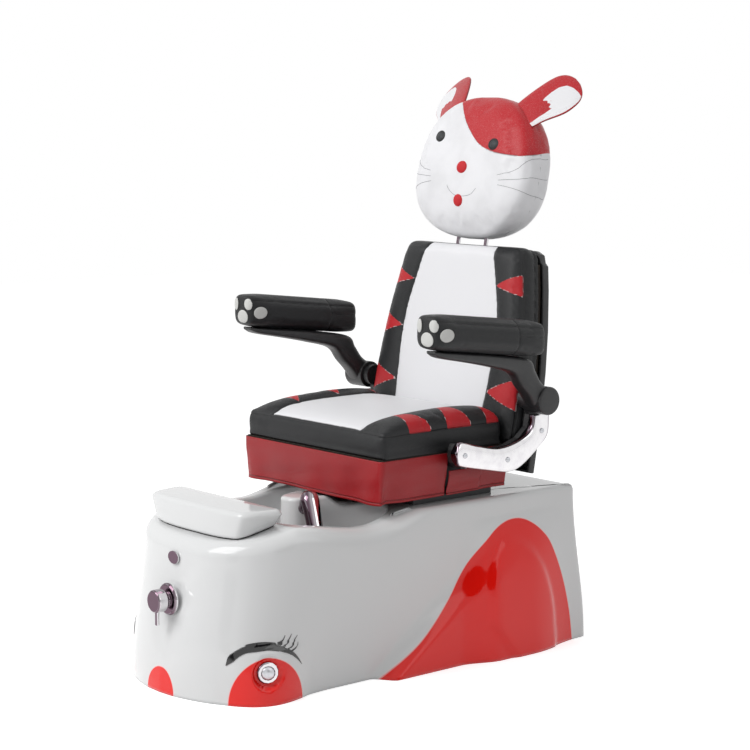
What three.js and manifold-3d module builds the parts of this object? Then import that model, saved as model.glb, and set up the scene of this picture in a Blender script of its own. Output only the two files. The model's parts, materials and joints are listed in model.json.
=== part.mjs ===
// Kids spa chair: a moulded foot bath on a hidden steel frame carries an upholstered seat on a
// short slide, with lift-up arms, chromed side brackets and a plush animal head as headrest.
// Millimetres. X is the sitter's left, Y runs rearwards, Z is up, and the floor is at Z = 0.

import * as THREE from 'three';
import { mergeVertices } from 'three/addons/utils/BufferGeometryUtils.js';
import Module from 'manifold-3d';

const wasm = await Module();
wasm.setup();

// Clearances and common sizes
const fitGap = 0.3;
const overrun = 20;
const runningGap = 0.6;

// Tub: the moulded body
const tubLength = 1000;
const tubNoseY = -484;
const noseLength = 276;
const noseTopLength = 263.3;
const tubFrontLean = 44;
const tubRearLean = 32;
const tubTopFrontY = tubNoseY + tubFrontLean;
const tubTopRearY = tubNoseY + tubLength - tubRearLean;
const deckHalfWidth = 250;
const deckHeight = 357;
const saddleDrop = 5;
const saddleFall = 27;
const saddleRearHeight = deckHeight - saddleDrop;
const saddleFrontHeight = saddleRearHeight - saddleFall;
const saddleRearY = -288;
const rimDip = 24;
const rimDipHeight = deckHeight - rimDip;
const tubWall = 6;
const leanHeight = 250;
const cornerLeanHeight = 350;
const frontShoulderReach = 34;
const frontShoulderDrop = 38;
const deckShoulder = 14;
const shoulderChangeY = 10;
const shoulderChangeLength = 110;
const haunchBulge = 28;
const haunchHeight = 306;
const haunchFrontInset = 354;
const haunchFrontY = tubTopRearY - haunchFrontInset;
const haunchRise = 95;
const haunchRearInset = 164;
const haunchRearY = tubTopRearY - haunchRearInset;
const haunchFall = 180;
const legFrontInset = 576;
const legFrontY = tubTopRearY - legFrontInset;
const legEdgeLength = 42;
const legEdgeSpread = 0.45;
const legFlare = 9;
const eyeBulge = 20;
const eyeForwardShare = 0.6;
const eyeBulgeHeight = 118;
const eyeBulgeY = -350;
const eyeBulgeReach = 92;

// Foot bath: the basin in the tub and the nose that stands in its rear wall
const basinHalfWidth = 192;
const basinFrontY = -278;
const basinRearY = 6;
const basinFloor = 128;
const basinDraft = 24;
const basinFloorRadius = 26;
const noseTipY = -152;
const noseTopRise = 12;
const noseTopHeight = deckHeight + noseTopRise;
const noseRearY = -66;
const noseFoot = 34;
const hoseWellRadius = 13;

// Footrest and its gasket
const footrestHalfWidth = 156;
const footrestFrontY = -399;
const footrestCornerY = -386;
const footrestRearY = -294;
const footrestRise = 36;
const footrestTop = saddleRearHeight + footrestRise;
const footrestFlare = 18;
const footrestEdge = 9;
const footrestFoot = 4;
const gasketThickness = 4;
const gasketInset = 4;

// Front mixer
const mixerDrop = 132;
const mixerHeight = saddleFrontHeight - mixerDrop;
const mixerFaceY = -455;
const mixerBossRadius = 37;
const mixerBossDepth = 24;
const escutcheonRadius = 34;
const escutcheonThickness = 8;
const valveBoreRadius = 17;
const valveNeckRadius = 16;
const valveBodyRadius = 23;
const valveBodyLength = 52;
const valveTailRadius = 8;
const valveTailSpread = 44;
const valveTailLength = 46;
const collarRadius = 18;
const collarThickness = 3.4;
const collarNeckRadius = 5;
const ballRadius = 12;
const handleRadius = 24;
const handleRear = 17;
const handleLength = 28;
const handleBevel = 3;
const handleRearShare = 0.4;
const leverRadius = 4.5;
const leverLength = 27;

// Push buttons in the painted eyes
const eyeButtonX = 217;
const eyeButtonY = -367;
const eyeButtonHeight = 66;
const eyeButtonTurn = 66 * Math.PI / 180;
const bezelRadius = 23;
const bezelThickness = 5;
const bezelBoreRadius = 13;
const buttonRadius = 14;
const buttonStemRadius = 9;
const buttonRise = 5;
const buttonTravel = 3;
const buttonHoleRadius = 18;
const eyeBossRadius = 27;
const eyeBossDepth = 30;

// Blank oval badge
const badgeDrop = 46;
const badgeHeight = saddleFrontHeight - badgeDrop;
const badgeHalfWidth = 18;
const badgeHalfHeight = 13.5;
const badgeThickness = 2.5;
const badgeMargin = 1.8;
const badgeFaceY = -442;
const badgeBossDepth = 12;

// Spout, its flange and its hose
const spoutFlangeX = 21;
const spoutFlangeY = -121;
const spoutFlangeDrop = 23;
const spoutFlangeHeight = noseTopHeight - spoutFlangeDrop;
const spoutTurn = 75 * Math.PI / 180;
const flangeRadius = 22;
const flangeThickness = 5;
const spoutNeckRadius = 14;
const spoutElbowRadius = 20;
const spoutOutletRadius = 17;
const spoutReach = 40;
const spoutArch = 25;
const spoutTailReach = 80;
const spoutFall = 54;
const hoseRadius = 6;
const hoseEndGap = 0.5;
const hoseRoom = 3;

// Water jet and drain in the basin floor
const jetX = -104;
const jetY = -188;
const jetFlangeRadius = 33;
const jetFlangeThickness = 4;
const jetBodyRadius = 26;
const jetBodyDepth = 34;
const jetPocketRadius = 21;
const jetCoverHeight = 8;
const jetCoverBevel = 2;
const jetSlotWidth = 4;
const impellerRadius = 17;
const impellerHubRadius = 6;
const impellerThickness = 10;
const impellerBladeThickness = 2.4;
const impellerBlades = 5;
const motorRadius = 24;
const motorHeight = 34;
const drainX = 104;
const drainY = -188;
const drainFlangeRadius = 27;
const drainFlangeThickness = 3;
const drainPipeRadius = 19;
const drainBoreRadius = 15;
const drainDrop = 55;
const drainOutletInset = 14;
const drainOutletY = tubTopRearY - drainOutletInset;

// Base frame and feet
const railSize = 25;
const frameBottom = 22;
const frameHalfSpan = 120;
const frameFrontY = -330;
const frameMidY = 60;
const frameRearInset = 64;
const frameRearY = tubTopRearY - frameRearInset;
const footPadRadius = 20;
const footPadHeight = 10;
const footStemRadius = 5;

// Rear access panel
const panelHalfWidth = 150;
const panelHeight = 190;
const panelThickness = 4;
const panelMiddleHeight = 190;
const panelLap = 16;

// Seat slide
const slideHalfWidth = 203;
const slideFrontY = 38;
const slideTongueHalfWidth = 19;
const slideTongueFrontY = -62;
const slideRearY = 268;
const slideBaseThickness = 4;
const slideRailX = 120;
const slideRailWidth = 22;
const slideRailHeight = 5;
const carriageThickness = 9;

// Seat: frame, board, cushion and skirts
const seatFrontY = -78;
const seatRearY = 274;
const seatHalfWidth = 240;
const seatCushionRise = 113;
const seatCushionBottom = deckHeight + seatCushionRise;
const seatCushionThickness = 56;
const seatCrown = 19;
const seatCorner = 13;
const seatSeamShare = 0.63;
const seatGrooveDepth = 5;
const seatBoardThickness = 15;
const seatBoardInset = 5;
const seatFrameHalfWidth = 150;
const seatFrameFrontY = -20;
const seatFrameRearY = 240;
const seatFrameWall = 18;
const wingInset = 2;
const seatBoardRearInset = 3;
const skirtThickness = 2.5;
const skirtTopGap = 2;
const skirtWaveTurnShare = 0.9;
const skirtDeckGap = 17;
const skirtBottom = deckHeight + skirtDeckGap;
const skirtCorner = 10;
const skirtSplitY = 106;
const skirtSplitGap = 5;
const skirtRearY = 287;
const skirtFold = 3.5;
const skirtTaper = 14;
const skirtFrontTaper = 5;
const skirtProud = 4;
const skirtNotchDepth = 42;
const skirtNotchBottom = seatCushionBottom - skirtNotchDepth;
const skirtNotchRearY = 206;

// Slide release lever under the seat
const releasePivotY = -32;
const releasePivotRise = 35;
const releasePivotHeight = deckHeight + releasePivotRise;
const releaseHalfWidth = 60;
const releaseBarRadius = 5;
const releasePinRadius = 3;
const releaseReach = 26;
const releaseLugThickness = 6;
const releaseLugHalfHeight = 9;

// Backrest, measured along and square to its reclined face
const recline = 10.8 * Math.PI / 180;
const backFootY = 276.6;
const backFootDrop = 15;
const backFootHeight = seatCushionBottom - backFootDrop;
const backLength = 455;
const backHalfWidth = 251;
const backTopNarrowing = 56;
const backCorner = 24;
const backCushionThickness = 62;
const backCrown = 5;
const backLumbar = 9;
const backSeamShare = 0.6;
const backGrooveDepth = 5;
const backBoardThickness = 12;
const backBoardInset = 14;
const backBoardDrop = 24;
const backCoverThickness = 15;
const backCoverInset = 5;
const backCoverDrop = 44;
const backCoverWall = 3;
const backCoverBevel = 5;

// Head, posts and ears, measured in the same reclined frame
const headHalfWidth = 188;
const headHalfDepth = 63;
const headHalfHeight = 170;
const headRise = 172;
const headCentreUp = backLength + headRise;
const headCentreOut = 25.7;
const headTaper = 0.07;
const postSpacing = 92;
const postRadius = 5;
const postLength = 175;
const postInHead = 60;
const guideHeight = 130;
const guideHalfWidth = 58;
const guideTopInset = 12;
const earRootX = 128;
const earRootRise = 126;
const earRootUp = headCentreUp + earRootRise;
const earRootOut = 31;
const earRun = new THREE.Vector3(57, 73, -60);
const earLength = 132;
const earHalfWidth = 49.5;
const earHalfThickness = 8;

// Side brackets, their backing plates and bolts
const bracketInnerX = 269;
const bracketThickness = 22;
const bracketBevel = 6;
const bracketReach = 248;
const bracketRise = 151;
const backingInnerX = 254.5;
const backingInset = 4;
const hingeY = 321;
const hingeRise = 100;
const hingeHeight = seatCushionBottom + hingeRise;
const hingePinRadius = 8;
const knuckleRadius = 24;
const boltHeadRadius = 6;
const boltHeadHeight = 3;
const boltShankRadius = 3;
const boltDepth = 16;
const boltEndGap = 2;
const lugHalfLength = 26;
const backLugHalfHeight = 14;

// Arms
const armPadX = 315;
const armPadHalfWidth = 37.5;
const armPadHeight = 76;
const armPadFrontY = -31;
const armPadRearY = 292;
const armPadRise = 99.6;
const armPadRearUnderside = hingeHeight + armPadRise;
const armPadSlope = 0.113;
const barrelRadius = 31;
const barrelOuterX = 332;
const barrelGap = 1.5;
const barrelCap = 4;
const armFrameHalfWidth = 23;
const armFrameDepth = 28;
const armNeckRise = 99;
const pawThickness = 1.8;
const pawWeb = 5;
const pawTurn = 32 * Math.PI / 180;

const smooth = (share) => {
  const held = Math.min(1, Math.max(0, share));
  return held * held * (3 - 2 * held);
};
const mix = (from, to, share) => from + (to - from) * share;
const signedPower = (value, power) => Math.sign(value) * Math.abs(value) ** power;
const radians = (degrees) => degrees * Math.PI / 180;

// Solids from points and faces. The faces are turned so that they point outwards.
function closedBody(points, faces) {
  const volume = faces.reduce((sum, [a, b, c]) => {
    const edge = points[b].clone().cross(points[c]);
    return sum + points[a].dot(edge);
  }, 0);
  const turned = volume < 0 ? faces.map(([a, b, c]) => [a, c, b]) : faces;
  const geometry = new THREE.BufferGeometry().setFromPoints(points);
  geometry.setIndex(turned.flat());
  return geometry;
}

// Triangles between neighbouring rings that all have the same count of points.
function ringFaces(ringCount, count) {
  const faces = [];
  for (let ring = 0; ring + 1 < ringCount; ring += 1) {
    for (let spot = 0; spot < count; spot += 1) {
      const here = ring * count + spot;
      const beside = ring * count + (spot + 1) % count;
      faces.push([here, beside, beside + count], [here, beside + count, here + count]);
    }
  }
  return faces;
}

// Triangles that close a ring straight across, where it starts on the middle line and is symmetric.
function acrossFaces(start, count, flip) {
  const faces = [];
  for (let spot = 0; spot + 1 < (count + 1) / 2; spot += 1) {
    const right = start + spot;
    const left = start + (count - spot) % count;
    const leftNext = start + count - spot - 1;
    const near = [right, right + 1, leftNext];
    const corners = spot === 0 ? [near] : [near, [right, leftNext, left]];
    corners.forEach(([a, b, c]) => faces.push(flip ? [a, c, b] : [a, b, c]));
  }
  return faces;
}

const middleOf = (ring) => ring
  .reduce((sum, point) => sum.add(point), new THREE.Vector3())
  .divideScalar(ring.length);

// A skin over a row of rings with the same number of points, closed at both ends by fans.
function loft(rings) {
  const count = rings[0].length;
  const points = rings.flat();
  const faces = ringFaces(rings.length, count);
  const first = points.push(middleOf(rings[0])) - 1;
  const last = points.push(middleOf(rings.at(-1))) - 1;
  const lastRing = (rings.length - 1) * count;
  for (let spot = 0; spot < count; spot += 1) {
    const beside = (spot + 1) % count;
    faces.push([first, beside, spot], [last, lastRing + spot, lastRing + beside]);
  }
  return closedBody(points, faces);
}

// A geometry with its shared points merged and its faces turned outwards.
function facedOut(geometry) {
  const bare = geometry.clone();
  bare.deleteAttribute('normal');
  bare.deleteAttribute('uv');
  const merged = mergeVertices(bare);
  const place = merged.attributes.position;
  const readPoint = (_, spot) => new THREE.Vector3().fromBufferAttribute(place, spot);
  const points = Array.from({ length: place.count }, readPoint);
  const corners = merged.index.array;
  const readFace = (_, face) => [...corners.slice(face * 3, face * 3 + 3)];
  const faces = Array.from({ length: corners.length / 3 }, readFace)
    .filter(([a, b, c]) => a !== b && b !== c && c !== a);
  return closedBody(points, faces);
}

// Joining and cutting
function toManifold(geometry) {
  const merged = facedOut(geometry);
  const mesh = new wasm.Mesh({
    numProp: 3,
    vertProperties: new Float32Array(merged.attributes.position.array),
    triVerts: new Uint32Array(merged.index.array),
  });
  return new wasm.Manifold(mesh);
}

function toGeometry(solid) {
  const mesh = solid.getMesh();
  const geometry = new THREE.BufferGeometry();
  geometry.setAttribute('position', new THREE.BufferAttribute(mesh.vertProperties, 3));
  geometry.setIndex(new THREE.BufferAttribute(mesh.triVerts, 1));
  return geometry;
}

const join = (...parts) => toGeometry(parts.map(toManifold).reduce((whole, part) => whole.add(part)));
const cut = (body, ...tools) => toGeometry(
  tools.map(toManifold).reduce((whole, tool) => whole.subtract(tool), toManifold(body)),
);
const common = (one, other) => toGeometry(toManifold(one).intersect(toManifold(other)));

// Plain shapes, each given by its limits or by its axis
const slab = (low, high) => new THREE.BoxGeometry(high[0] - low[0], high[1] - low[1], high[2] - low[2])
  .translate((low[0] + high[0]) / 2, (low[1] + high[1]) / 2, (low[2] + high[2]) / 2);
const rod = (radius, length, sides) => new THREE.CylinderGeometry(radius, radius, length, sides);
const rodY = (radius, fromY, toY, x, z, sides = 20) => rod(radius, toY - fromY, sides)
  .translate(x, (fromY + toY) / 2, z);
const rodZ = (radius, fromZ, toZ, x, y, sides = 20) => rod(radius, toZ - fromZ, sides)
  .rotateX(Math.PI / 2)
  .translate(x, y, (fromZ + toZ) / 2);
const rodX = (radius, fromX, toX, y, z, sides = 18) => rod(radius, toX - fromX, sides)
  .rotateZ(Math.PI / 2)
  .translate((fromX + toX) / 2, y, z);
const turned = (profile, sides = 20) => join(
  new THREE.LatheGeometry(profile.map(([radius, along]) => new THREE.Vector2(radius, along)), sides),
);
const outlineOf = (pairs) => new THREE.Shape(pairs.map(([across, up]) => new THREE.Vector2(across, up)));
const plate = (outline, depth) => new THREE.ExtrudeGeometry(outline, {
  depth,
  bevelEnabled: false,
  curveSegments: 12,
});

// A flat outline in Y and Z, given its thickness along X.
function sidePlate(pairs, fromX, toX) {
  const upright = new THREE.Matrix4().makeBasis(
    new THREE.Vector3(0, 1, 0),
    new THREE.Vector3(0, 0, 1),
    new THREE.Vector3(1, 0, 0),
  );
  return plate(outlineOf(pairs), toX - fromX).applyMatrix4(upright).translate(fromX, 0, 0);
}

// A straight round bar between two points that changes its radius on the way.
function taperedBar(from, to, fromRadius, toRadius, sides) {
  const run = to.clone().sub(from);
  const turn = new THREE.Quaternion().setFromUnitVectors(new THREE.Vector3(0, 1, 0), run.clone().normalize());
  return new THREE.CylinderGeometry(toRadius, fromRadius, run.length(), sides)
    .applyQuaternion(turn)
    .translate((from.x + to.x) / 2, (from.y + to.y) / 2, (from.z + to.z) / 2);
}

function tube(stops, radius, sides, steps, boreRadius = 0) {
  const section = new THREE.Shape().absarc(0, 0, radius, 0, 2 * Math.PI, false);
  if (boreRadius > 0) {
    section.holes.push(new THREE.Path().absarc(0, 0, boreRadius, 0, 2 * Math.PI, true));
  }
  const path = new THREE.CatmullRomCurve3(stops, false, 'centripetal');
  return join(new THREE.ExtrudeGeometry(section, { extrudePath: path, steps, curveSegments: sides }));
}

function mirrored(geometry) {
  const other = geometry.clone().scale(-1, 1, 1);
  const corners = other.index.array;
  for (let corner = 0; corner < corners.length; corner += 3) {
    const kept = corners[corner];
    corners[corner] = corners[corner + 1];
    corners[corner + 1] = kept;
  }
  return other;
}

// A height or width that passes through given pairs, with an easy slope at each of them.
function eased(pairs, at) {
  const last = pairs.length - 1;
  if (at <= pairs[0][0]) return pairs[0][1];
  if (at >= pairs[last][0]) return pairs[last][1];
  const after = pairs.findIndex(([place]) => place >= at);
  const [fromPlace, from] = pairs[after - 1];
  const [toPlace, to] = pairs[after];
  return mix(from, to, smooth((at - fromPlace) / (toPlace - fromPlace)));
}

// Tub outline stations, front centre to rear corner. Each row has x and y at the floor, then x and y at
// the shoulder: x as shares of the half width, and y as shares of the nose's length.
const noseStationShares = [
  [0, 0, 0, 0],
  [0.2, 0.014, 0.21, 0.011],
  [0.4, 0.058, 0.41, 0.049],
  [0.58, 0.123, 0.59, 0.116],
  [0.72, 0.21, 0.74, 0.218],
  [0.81, 0.326, 0.85, 0.358],
  [0.86, 0.471, 0.92, 0.512],
  [0.872, 0.638, 0.965, 0.677],
  [0.866, 0.819, 0.99, 0.842],
  [0.852, 1, 1, 1],
];
const sideStationCount = 10;
const rearCornerShares = [[0.998, 0.992], [0.985, 0.998], [0.965, 1]];

function tubStations() {
  const floorShare = noseLength / tubLength;
  const topShare = noseTopLength / (tubTopRearY - tubTopFrontY);
  const stations = noseStationShares.map(([x, y, topX, topY]) => [x, y * floorShare, topX, topY * topShare]);
  const lastNose = stations.at(-1);
  for (let step = 1; step <= sideStationCount; step += 1) {
    const run = step / sideStationCount;
    stations.push([lastNose[0], mix(lastNose[1], 0.97, run), 1, mix(lastNose[3], 0.975, run)]);
  }
  rearCornerShares.forEach(([x, y]) => stations.push([lastNose[0] * x, y, x, y]));
  return stations;
}
const stations = tubStations();

function saddleHeight(y) {
  const run = (y - footrestFrontY) / (saddleRearY - footrestFrontY);
  return mix(saddleFrontHeight, saddleRearHeight, run);
}
const rimPairs = [
  [saddleRearY, saddleRearHeight],
  [mix(saddleRearY, shoulderChangeY, 0.6), rimDipHeight],
  [shoulderChangeY + shoulderChangeLength / 4, deckHeight],
];
const topHeight = (y) => (y <= saddleRearY ? saddleHeight(y) : eased(rimPairs, y));
const deckShare = (y) => smooth((y - shoulderChangeY) / shoulderChangeLength + 0.5);
const shoulderReach = (y) => mix(frontShoulderReach, deckShoulder, deckShare(y));
const shoulderDrop = (y) => mix(frontShoulderDrop, deckShoulder, deckShare(y));

// The outer wall at one station and height.
function wallPoint(station, z) {
  const [floorX, floorY, topX, topY] = station;
  const lean = smooth(z / mix(leanHeight, cornerLeanHeight, smooth(2 * topX)));
  const y = mix(tubNoseY + floorY * tubLength, tubTopFrontY + topY * (tubTopRearY - tubTopFrontY), lean);
  const waist = mix(floorX, topX, lean) * deckHalfWidth;
  const leg = (topX * deckHalfWidth) + legFlare * (1 - lean) * topX;
  const legEdge = legFrontY + z * (haunchFrontY + haunchRise - legFrontY) / haunchHeight;
  const onLeg = smooth((y - legEdge) / (legEdgeLength + legEdgeSpread * z));
  const dome = Math.sqrt(Math.max(0, 1 - (z / haunchHeight) ** 2));
  const along = smooth((y - haunchFrontY) / haunchRise) * (1 - smooth((y - haunchRearY) / haunchFall));
  const haunch = haunchBulge * dome * along;
  const eyeDome = Math.sqrt(Math.max(0, 1 - (z / eyeBulgeHeight) ** 2));
  const fromEye = (y - eyeBulgeY) / eyeBulgeReach;
  const eye = eyeBulge * eyeDome * Math.max(0, 1 - fromEye * fromEye) * smooth(topX * 1.6 - 0.6);
  const x = Math.max(waist, mix(waist, leg, onLeg)) + haunch + eye;
  return new THREE.Vector3(x, y - eye * eyeForwardShare, z);
}

// Each point of a right-hand half ring moved inwards in plan.
function insetHalf(half, reachAt) {
  return half.map((point, spot) => {
    const before = spot === 0 ? new THREE.Vector3(-half[1].x, half[1].y, 0) : half[spot - 1];
    const after = spot === half.length - 1
      ? new THREE.Vector3(half[spot].x - deckHalfWidth, half[spot].y, 0)
      : half[spot + 1];
    const run = new THREE.Vector2(after.x - before.x, after.y - before.y).normalize();
    const reach = reachAt(spot);
    return new THREE.Vector3(point.x - run.y * reach, point.y + run.x * reach, point.z);
  });
}

const fullRing = (half) => [
  ...half,
  ...half.slice(1).reverse().map((point) => new THREE.Vector3(-point.x, point.y, point.z)),
];

const wallLevelShares = [0, 0.13, 0.27, 0.42, 0.6, 0.8, 1];
const shoulderSteps = 3;

// The tub's outer body, or the same body moved inwards by a wall. It is closed across the top by
// strips that join the two points of each station.
function tubBody(inset, floorZ) {
  const halves = wallLevelShares.map((share) => {
    const half = stations.map((station) => {
      const place = wallPoint(station, leanHeight);
      const edge = topHeight(place.y) - shoulderDrop(place.y);
      return wallPoint(station, edge * share);
    });
    const inner = insetHalf(half, () => inset);
    return share === 0 ? inner.map((point) => new THREE.Vector3(point.x, point.y, floorZ)) : inner;
  });
  const edgeHalf = halves.at(-1);
  for (let step = 1; step <= shoulderSteps; step += 1) {
    const angle = (step / shoulderSteps) * Math.PI / 2;
    const reachOf = (spot) => shoulderReach(edgeHalf[spot].y) - inset;
    const half = insetHalf(edgeHalf, (spot) => reachOf(spot) * (1 - Math.cos(angle)));
    const full = insetHalf(edgeHalf, reachOf);
    half.forEach((point, spot) => {
      const drop = shoulderDrop(edgeHalf[spot].y);
      const top = topHeight(full[spot].y) - drop + (drop - inset) * Math.sin(angle);
      point.z = Math.max(point.z, top);
    });
    halves.push(half);
  }
  const rings = halves.map(fullRing);
  const count = rings[0].length;
  const points = rings.flat();
  const faces = ringFaces(rings.length, count);
  faces.push(...acrossFaces(0, count, true), ...acrossFaces(points.length - count, count, false));
  return closedBody(points, faces);
}

// Basin outline, right-hand half, front centre to nose tip: x as shares of the half width, and y as
// shares of the way from the front wall to the rear wall.
const basinShares = [
  [0, 0],
  [0.3, 0],
  [0.6, 0.002],
  [0.82, 0.03],
  [0.95, 0.13],
  [1, 0.28],
  [1.02, 0.48],
  [1.01, 0.72],
  [0.95, 0.89],
  [0.8, 0.985],
  [0.58, 0.99],
  [0.4, 0.9],
  [0.27, 0.74],
];
const noseSideShares = [[0.17, 0.25], [0.09, 0.05]];
const basinSteps = 20;

function basinHalfOutline() {
  const length = basinRearY - basinFrontY;
  const points = basinShares.map(([x, y]) => new THREE.Vector2(x * basinHalfWidth, basinFrontY + y * length));
  const noseLength = noseRearY - noseTipY;
  noseSideShares.forEach(([x, y]) => {
    points.push(new THREE.Vector2(x * basinHalfWidth, noseTipY + y * noseLength));
  });
  points.push(new THREE.Vector2(0, noseTipY));
  return new THREE.SplineCurve(points).getSpacedPoints(basinSteps);
}

function basinRing(inset, z) {
  const half = basinHalfOutline();
  const otherHalf = half.slice(1, -1).reverse();
  const whole = [...half, ...otherHalf.map((point) => new THREE.Vector2(-point.x, point.y))];
  return whole.map((point, spot) => {
    const before = whole[(spot + whole.length - 1) % whole.length];
    const after = whole[(spot + 1) % whole.length];
    const run = after.clone().sub(before).normalize();
    return new THREE.Vector3(point.x - run.y * inset, point.y + run.x * inset, z);
  });
}

// The water space of the basin, or that space grown by a wall.
function basinBody(grown) {
  const top = noseTopHeight + overrun;
  const draftAt = (z) => basinDraft * (deckHeight - z) / (deckHeight - basinFloor);
  const levels = [top, deckHeight, mix(deckHeight, basinFloor, 0.4), basinFloor + basinFloorRadius];
  const rings = levels.map((z) => basinRing(Math.max(0, draftAt(z)) - grown, z));
  [45, 90].forEach((degrees) => {
    const angle = radians(degrees);
    const drop = basinFloorRadius * Math.sin(angle);
    const inset = basinDraft + basinFloorRadius * (1 - Math.cos(angle));
    rings.push(basinRing(inset - grown, basinFloor + basinFloorRadius - drop - grown * Math.sin(angle)));
  });
  const points = rings.flat();
  const count = rings[0].length;
  const faces = ringFaces(rings.length, count);
  const close = (ring, flip) => {
    const flat = ring.map((point) => new THREE.Vector2(point.x, point.y));
    const start = flip ? 0 : points.length - count;
    THREE.ShapeUtils.triangulateShape(flat, []).forEach(([a, b, c]) => {
      faces.push(flip ? [start + a, start + c, start + b] : [start + a, start + b, start + c]);
    });
  };
  close(rings[0], true);
  close(rings.at(-1), false);
  return closedBody(points, faces);
}

// The nose's raised top: a block that the basin trims to the nose's own plan.
function nosePlinth() {
  const halfWidth = basinHalfWidth / 3;
  const low = [-halfWidth, noseTipY - tubWall, noseTopHeight - noseFoot];
  return slab(low, [halfWidth, noseRearY, noseTopHeight]);
}

const eyeAxis = new THREE.Vector3(Math.sin(eyeButtonTurn), -Math.cos(eyeButtonTurn), 0);
const spoutAxis = new THREE.Vector3(Math.sin(spoutTurn), -Math.cos(spoutTurn), 0);

// Turns a shape built along +Y so that +Y points along a level axis, and moves it to a place.
function alongLevel(geometry, axis, place) {
  const turn = new THREE.Matrix4().makeBasis(
    new THREE.Vector3(axis.y, -axis.x, 0),
    axis,
    new THREE.Vector3(0, 0, 1),
  );
  return geometry.clone().applyMatrix4(turn).translate(place.x, place.y, place.z);
}
const eyePlace = new THREE.Vector3(eyeButtonX, eyeButtonY, eyeButtonHeight);
const spoutPlace = new THREE.Vector3(spoutFlangeX, spoutFlangeY, spoutFlangeHeight);
const rodAlong = (radius, from, to, axis, place, sides = 20) => alongLevel(
  new THREE.CylinderGeometry(radius, radius, to - from, sides).translate(0, (from + to) / 2, 0),
  axis,
  place,
);

const hoseWell = spoutPlace.clone().addScaledVector(spoutAxis, -hoseWellRadius - tubWall / 2);

// A slab parallel to the leaning rear wall, between two depths measured outwards from it.
function rearSlab(halfWidth, height, fromDepth, toDepth) {
  const rear = stations.at(-1);
  const lowY = wallPoint(rear, panelMiddleHeight - panelHeight / 2).y;
  const highY = wallPoint(rear, panelMiddleHeight + panelHeight / 2).y;
  return new THREE.BoxGeometry(2 * halfWidth, toDepth - fromDepth, height)
    .translate(0, (fromDepth + toDepth) / 2, 0)
    .rotateX(Math.atan((lowY - highY) / panelHeight))
    .translate(0, (lowY + highY) / 2, panelMiddleHeight);
}

function tubShell() {
  const outer = tubBody(0, 0);
  const inner = tubBody(tubWall, -overrun);
  const bossY = mixerFaceY + mixerBossDepth;
  const leftEye = new THREE.Vector3(-eyePlace.x, eyePlace.y, eyePlace.z);
  const leftAxis = new THREE.Vector3(-eyeAxis.x, eyeAxis.y, 0);
  const oval = (fromY, toY) => new THREE.CylinderGeometry(1, 1, toY - fromY, 20)
    .scale(badgeHalfWidth + badgeMargin, 1, badgeHalfHeight + badgeMargin)
    .translate(0, (fromY + toY) / 2, badgeHeight);
  const panelRecess = rearSlab(panelHalfWidth + fitGap, panelHeight + 2 * fitGap, -fitGap, overrun * 2);
  const panelPad = rearSlab(panelHalfWidth + panelLap, panelHeight + 2 * panelLap, -tubWall * 2, -fitGap);
  let solid = toManifold(outer)
    .add(toManifold(nosePlinth()))
    .subtract(toManifold(inner).subtract(toManifold(basinBody(tubWall))))
    .subtract(toManifold(basinBody(0)));
  const bosses = [
    rodY(mixerBossRadius, mixerFaceY, bossY, 0, mixerHeight, 24),
    oval(badgeFaceY, badgeFaceY + badgeBossDepth),
    rodAlong(eyeBossRadius, -eyeBossDepth, 0, eyeAxis, eyePlace, 20),
    rodAlong(eyeBossRadius, -eyeBossDepth, 0, leftAxis, leftEye, 20),
  ];
  bosses.forEach((boss) => { solid = solid.add(toManifold(boss)); });
  const flats = [
    rodY(mixerBossRadius, mixerFaceY - overrun, mixerFaceY, 0, mixerHeight, 24),
    oval(badgeFaceY - overrun, badgeFaceY),
    rodY(valveBoreRadius, mixerFaceY - overrun, bossY + overrun, 0, mixerHeight, 24),
    rodAlong(eyeBossRadius, 0, overrun, eyeAxis, eyePlace, 20),
    rodAlong(eyeBossRadius, 0, overrun, leftAxis, leftEye, 20),
    rodAlong(buttonHoleRadius, -eyeBossDepth - overrun, overrun, eyeAxis, eyePlace, 24),
    rodAlong(buttonHoleRadius, -eyeBossDepth - overrun, overrun, leftAxis, leftEye, 24),
    rodZ(jetBodyRadius + fitGap, basinFloor - tubWall - overrun, basinFloor + overrun, jetX, jetY, 24),
    rodZ(drainPipeRadius + fitGap, basinFloor - tubWall - overrun, basinFloor + overrun, drainX, drainY, 24),
    rodAlong(flangeRadius + runningGap, -fitGap, overrun, spoutAxis, spoutPlace, 24),
    rodAlong(hoseRadius + hoseRoom, -hoseWellRadius, overrun, spoutAxis, spoutPlace, 16),
    rodZ(
      hoseWellRadius,
      spoutFlangeHeight - 3 * overrun,
      spoutFlangeHeight + hoseRadius + hoseRoom,
      hoseWell.x,
      hoseWell.y,
    ),
    panelRecess,
  ];
  flats.forEach((tool) => { solid = solid.subtract(toManifold(tool)); });
  const window = rearSlab(panelHalfWidth - panelLap, panelHeight - 2 * panelLap, -overrun * 2, overrun);
  solid = solid.add(toManifold(panelPad).intersect(toManifold(outer))).subtract(toManifold(window));
  return toGeometry(solid);
}

// Materials
const material = (color, roughness, metalness = 0) => new THREE.MeshStandardMaterial({
  color,
  roughness,
  metalness,
});
const gelcoat = () => material(0xe4e4e2, 0.18);
const chrome = () => material(0xd4d6d8, 0.12, 1);
const darkSteel = () => material(0x3a3d40, 0.5, 0.7);
const zincSteel = () => material(0x9a9da0, 0.4, 0.9);
const blackPlastic = () => material(0x1c1c1e, 0.45);
const blackVinyl = () => material(0x222326, 0.42);
const whiteVinyl = () => material(0xeeeef0, 0.4);
const redVinyl = () => material(0xa51f28, 0.42);
const rubber = () => material(0x17181a, 0.8);
const greyPlastic = () => material(0x8d9093, 0.5);
const plywood = () => material(0xb58b5a, 0.7);

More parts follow.
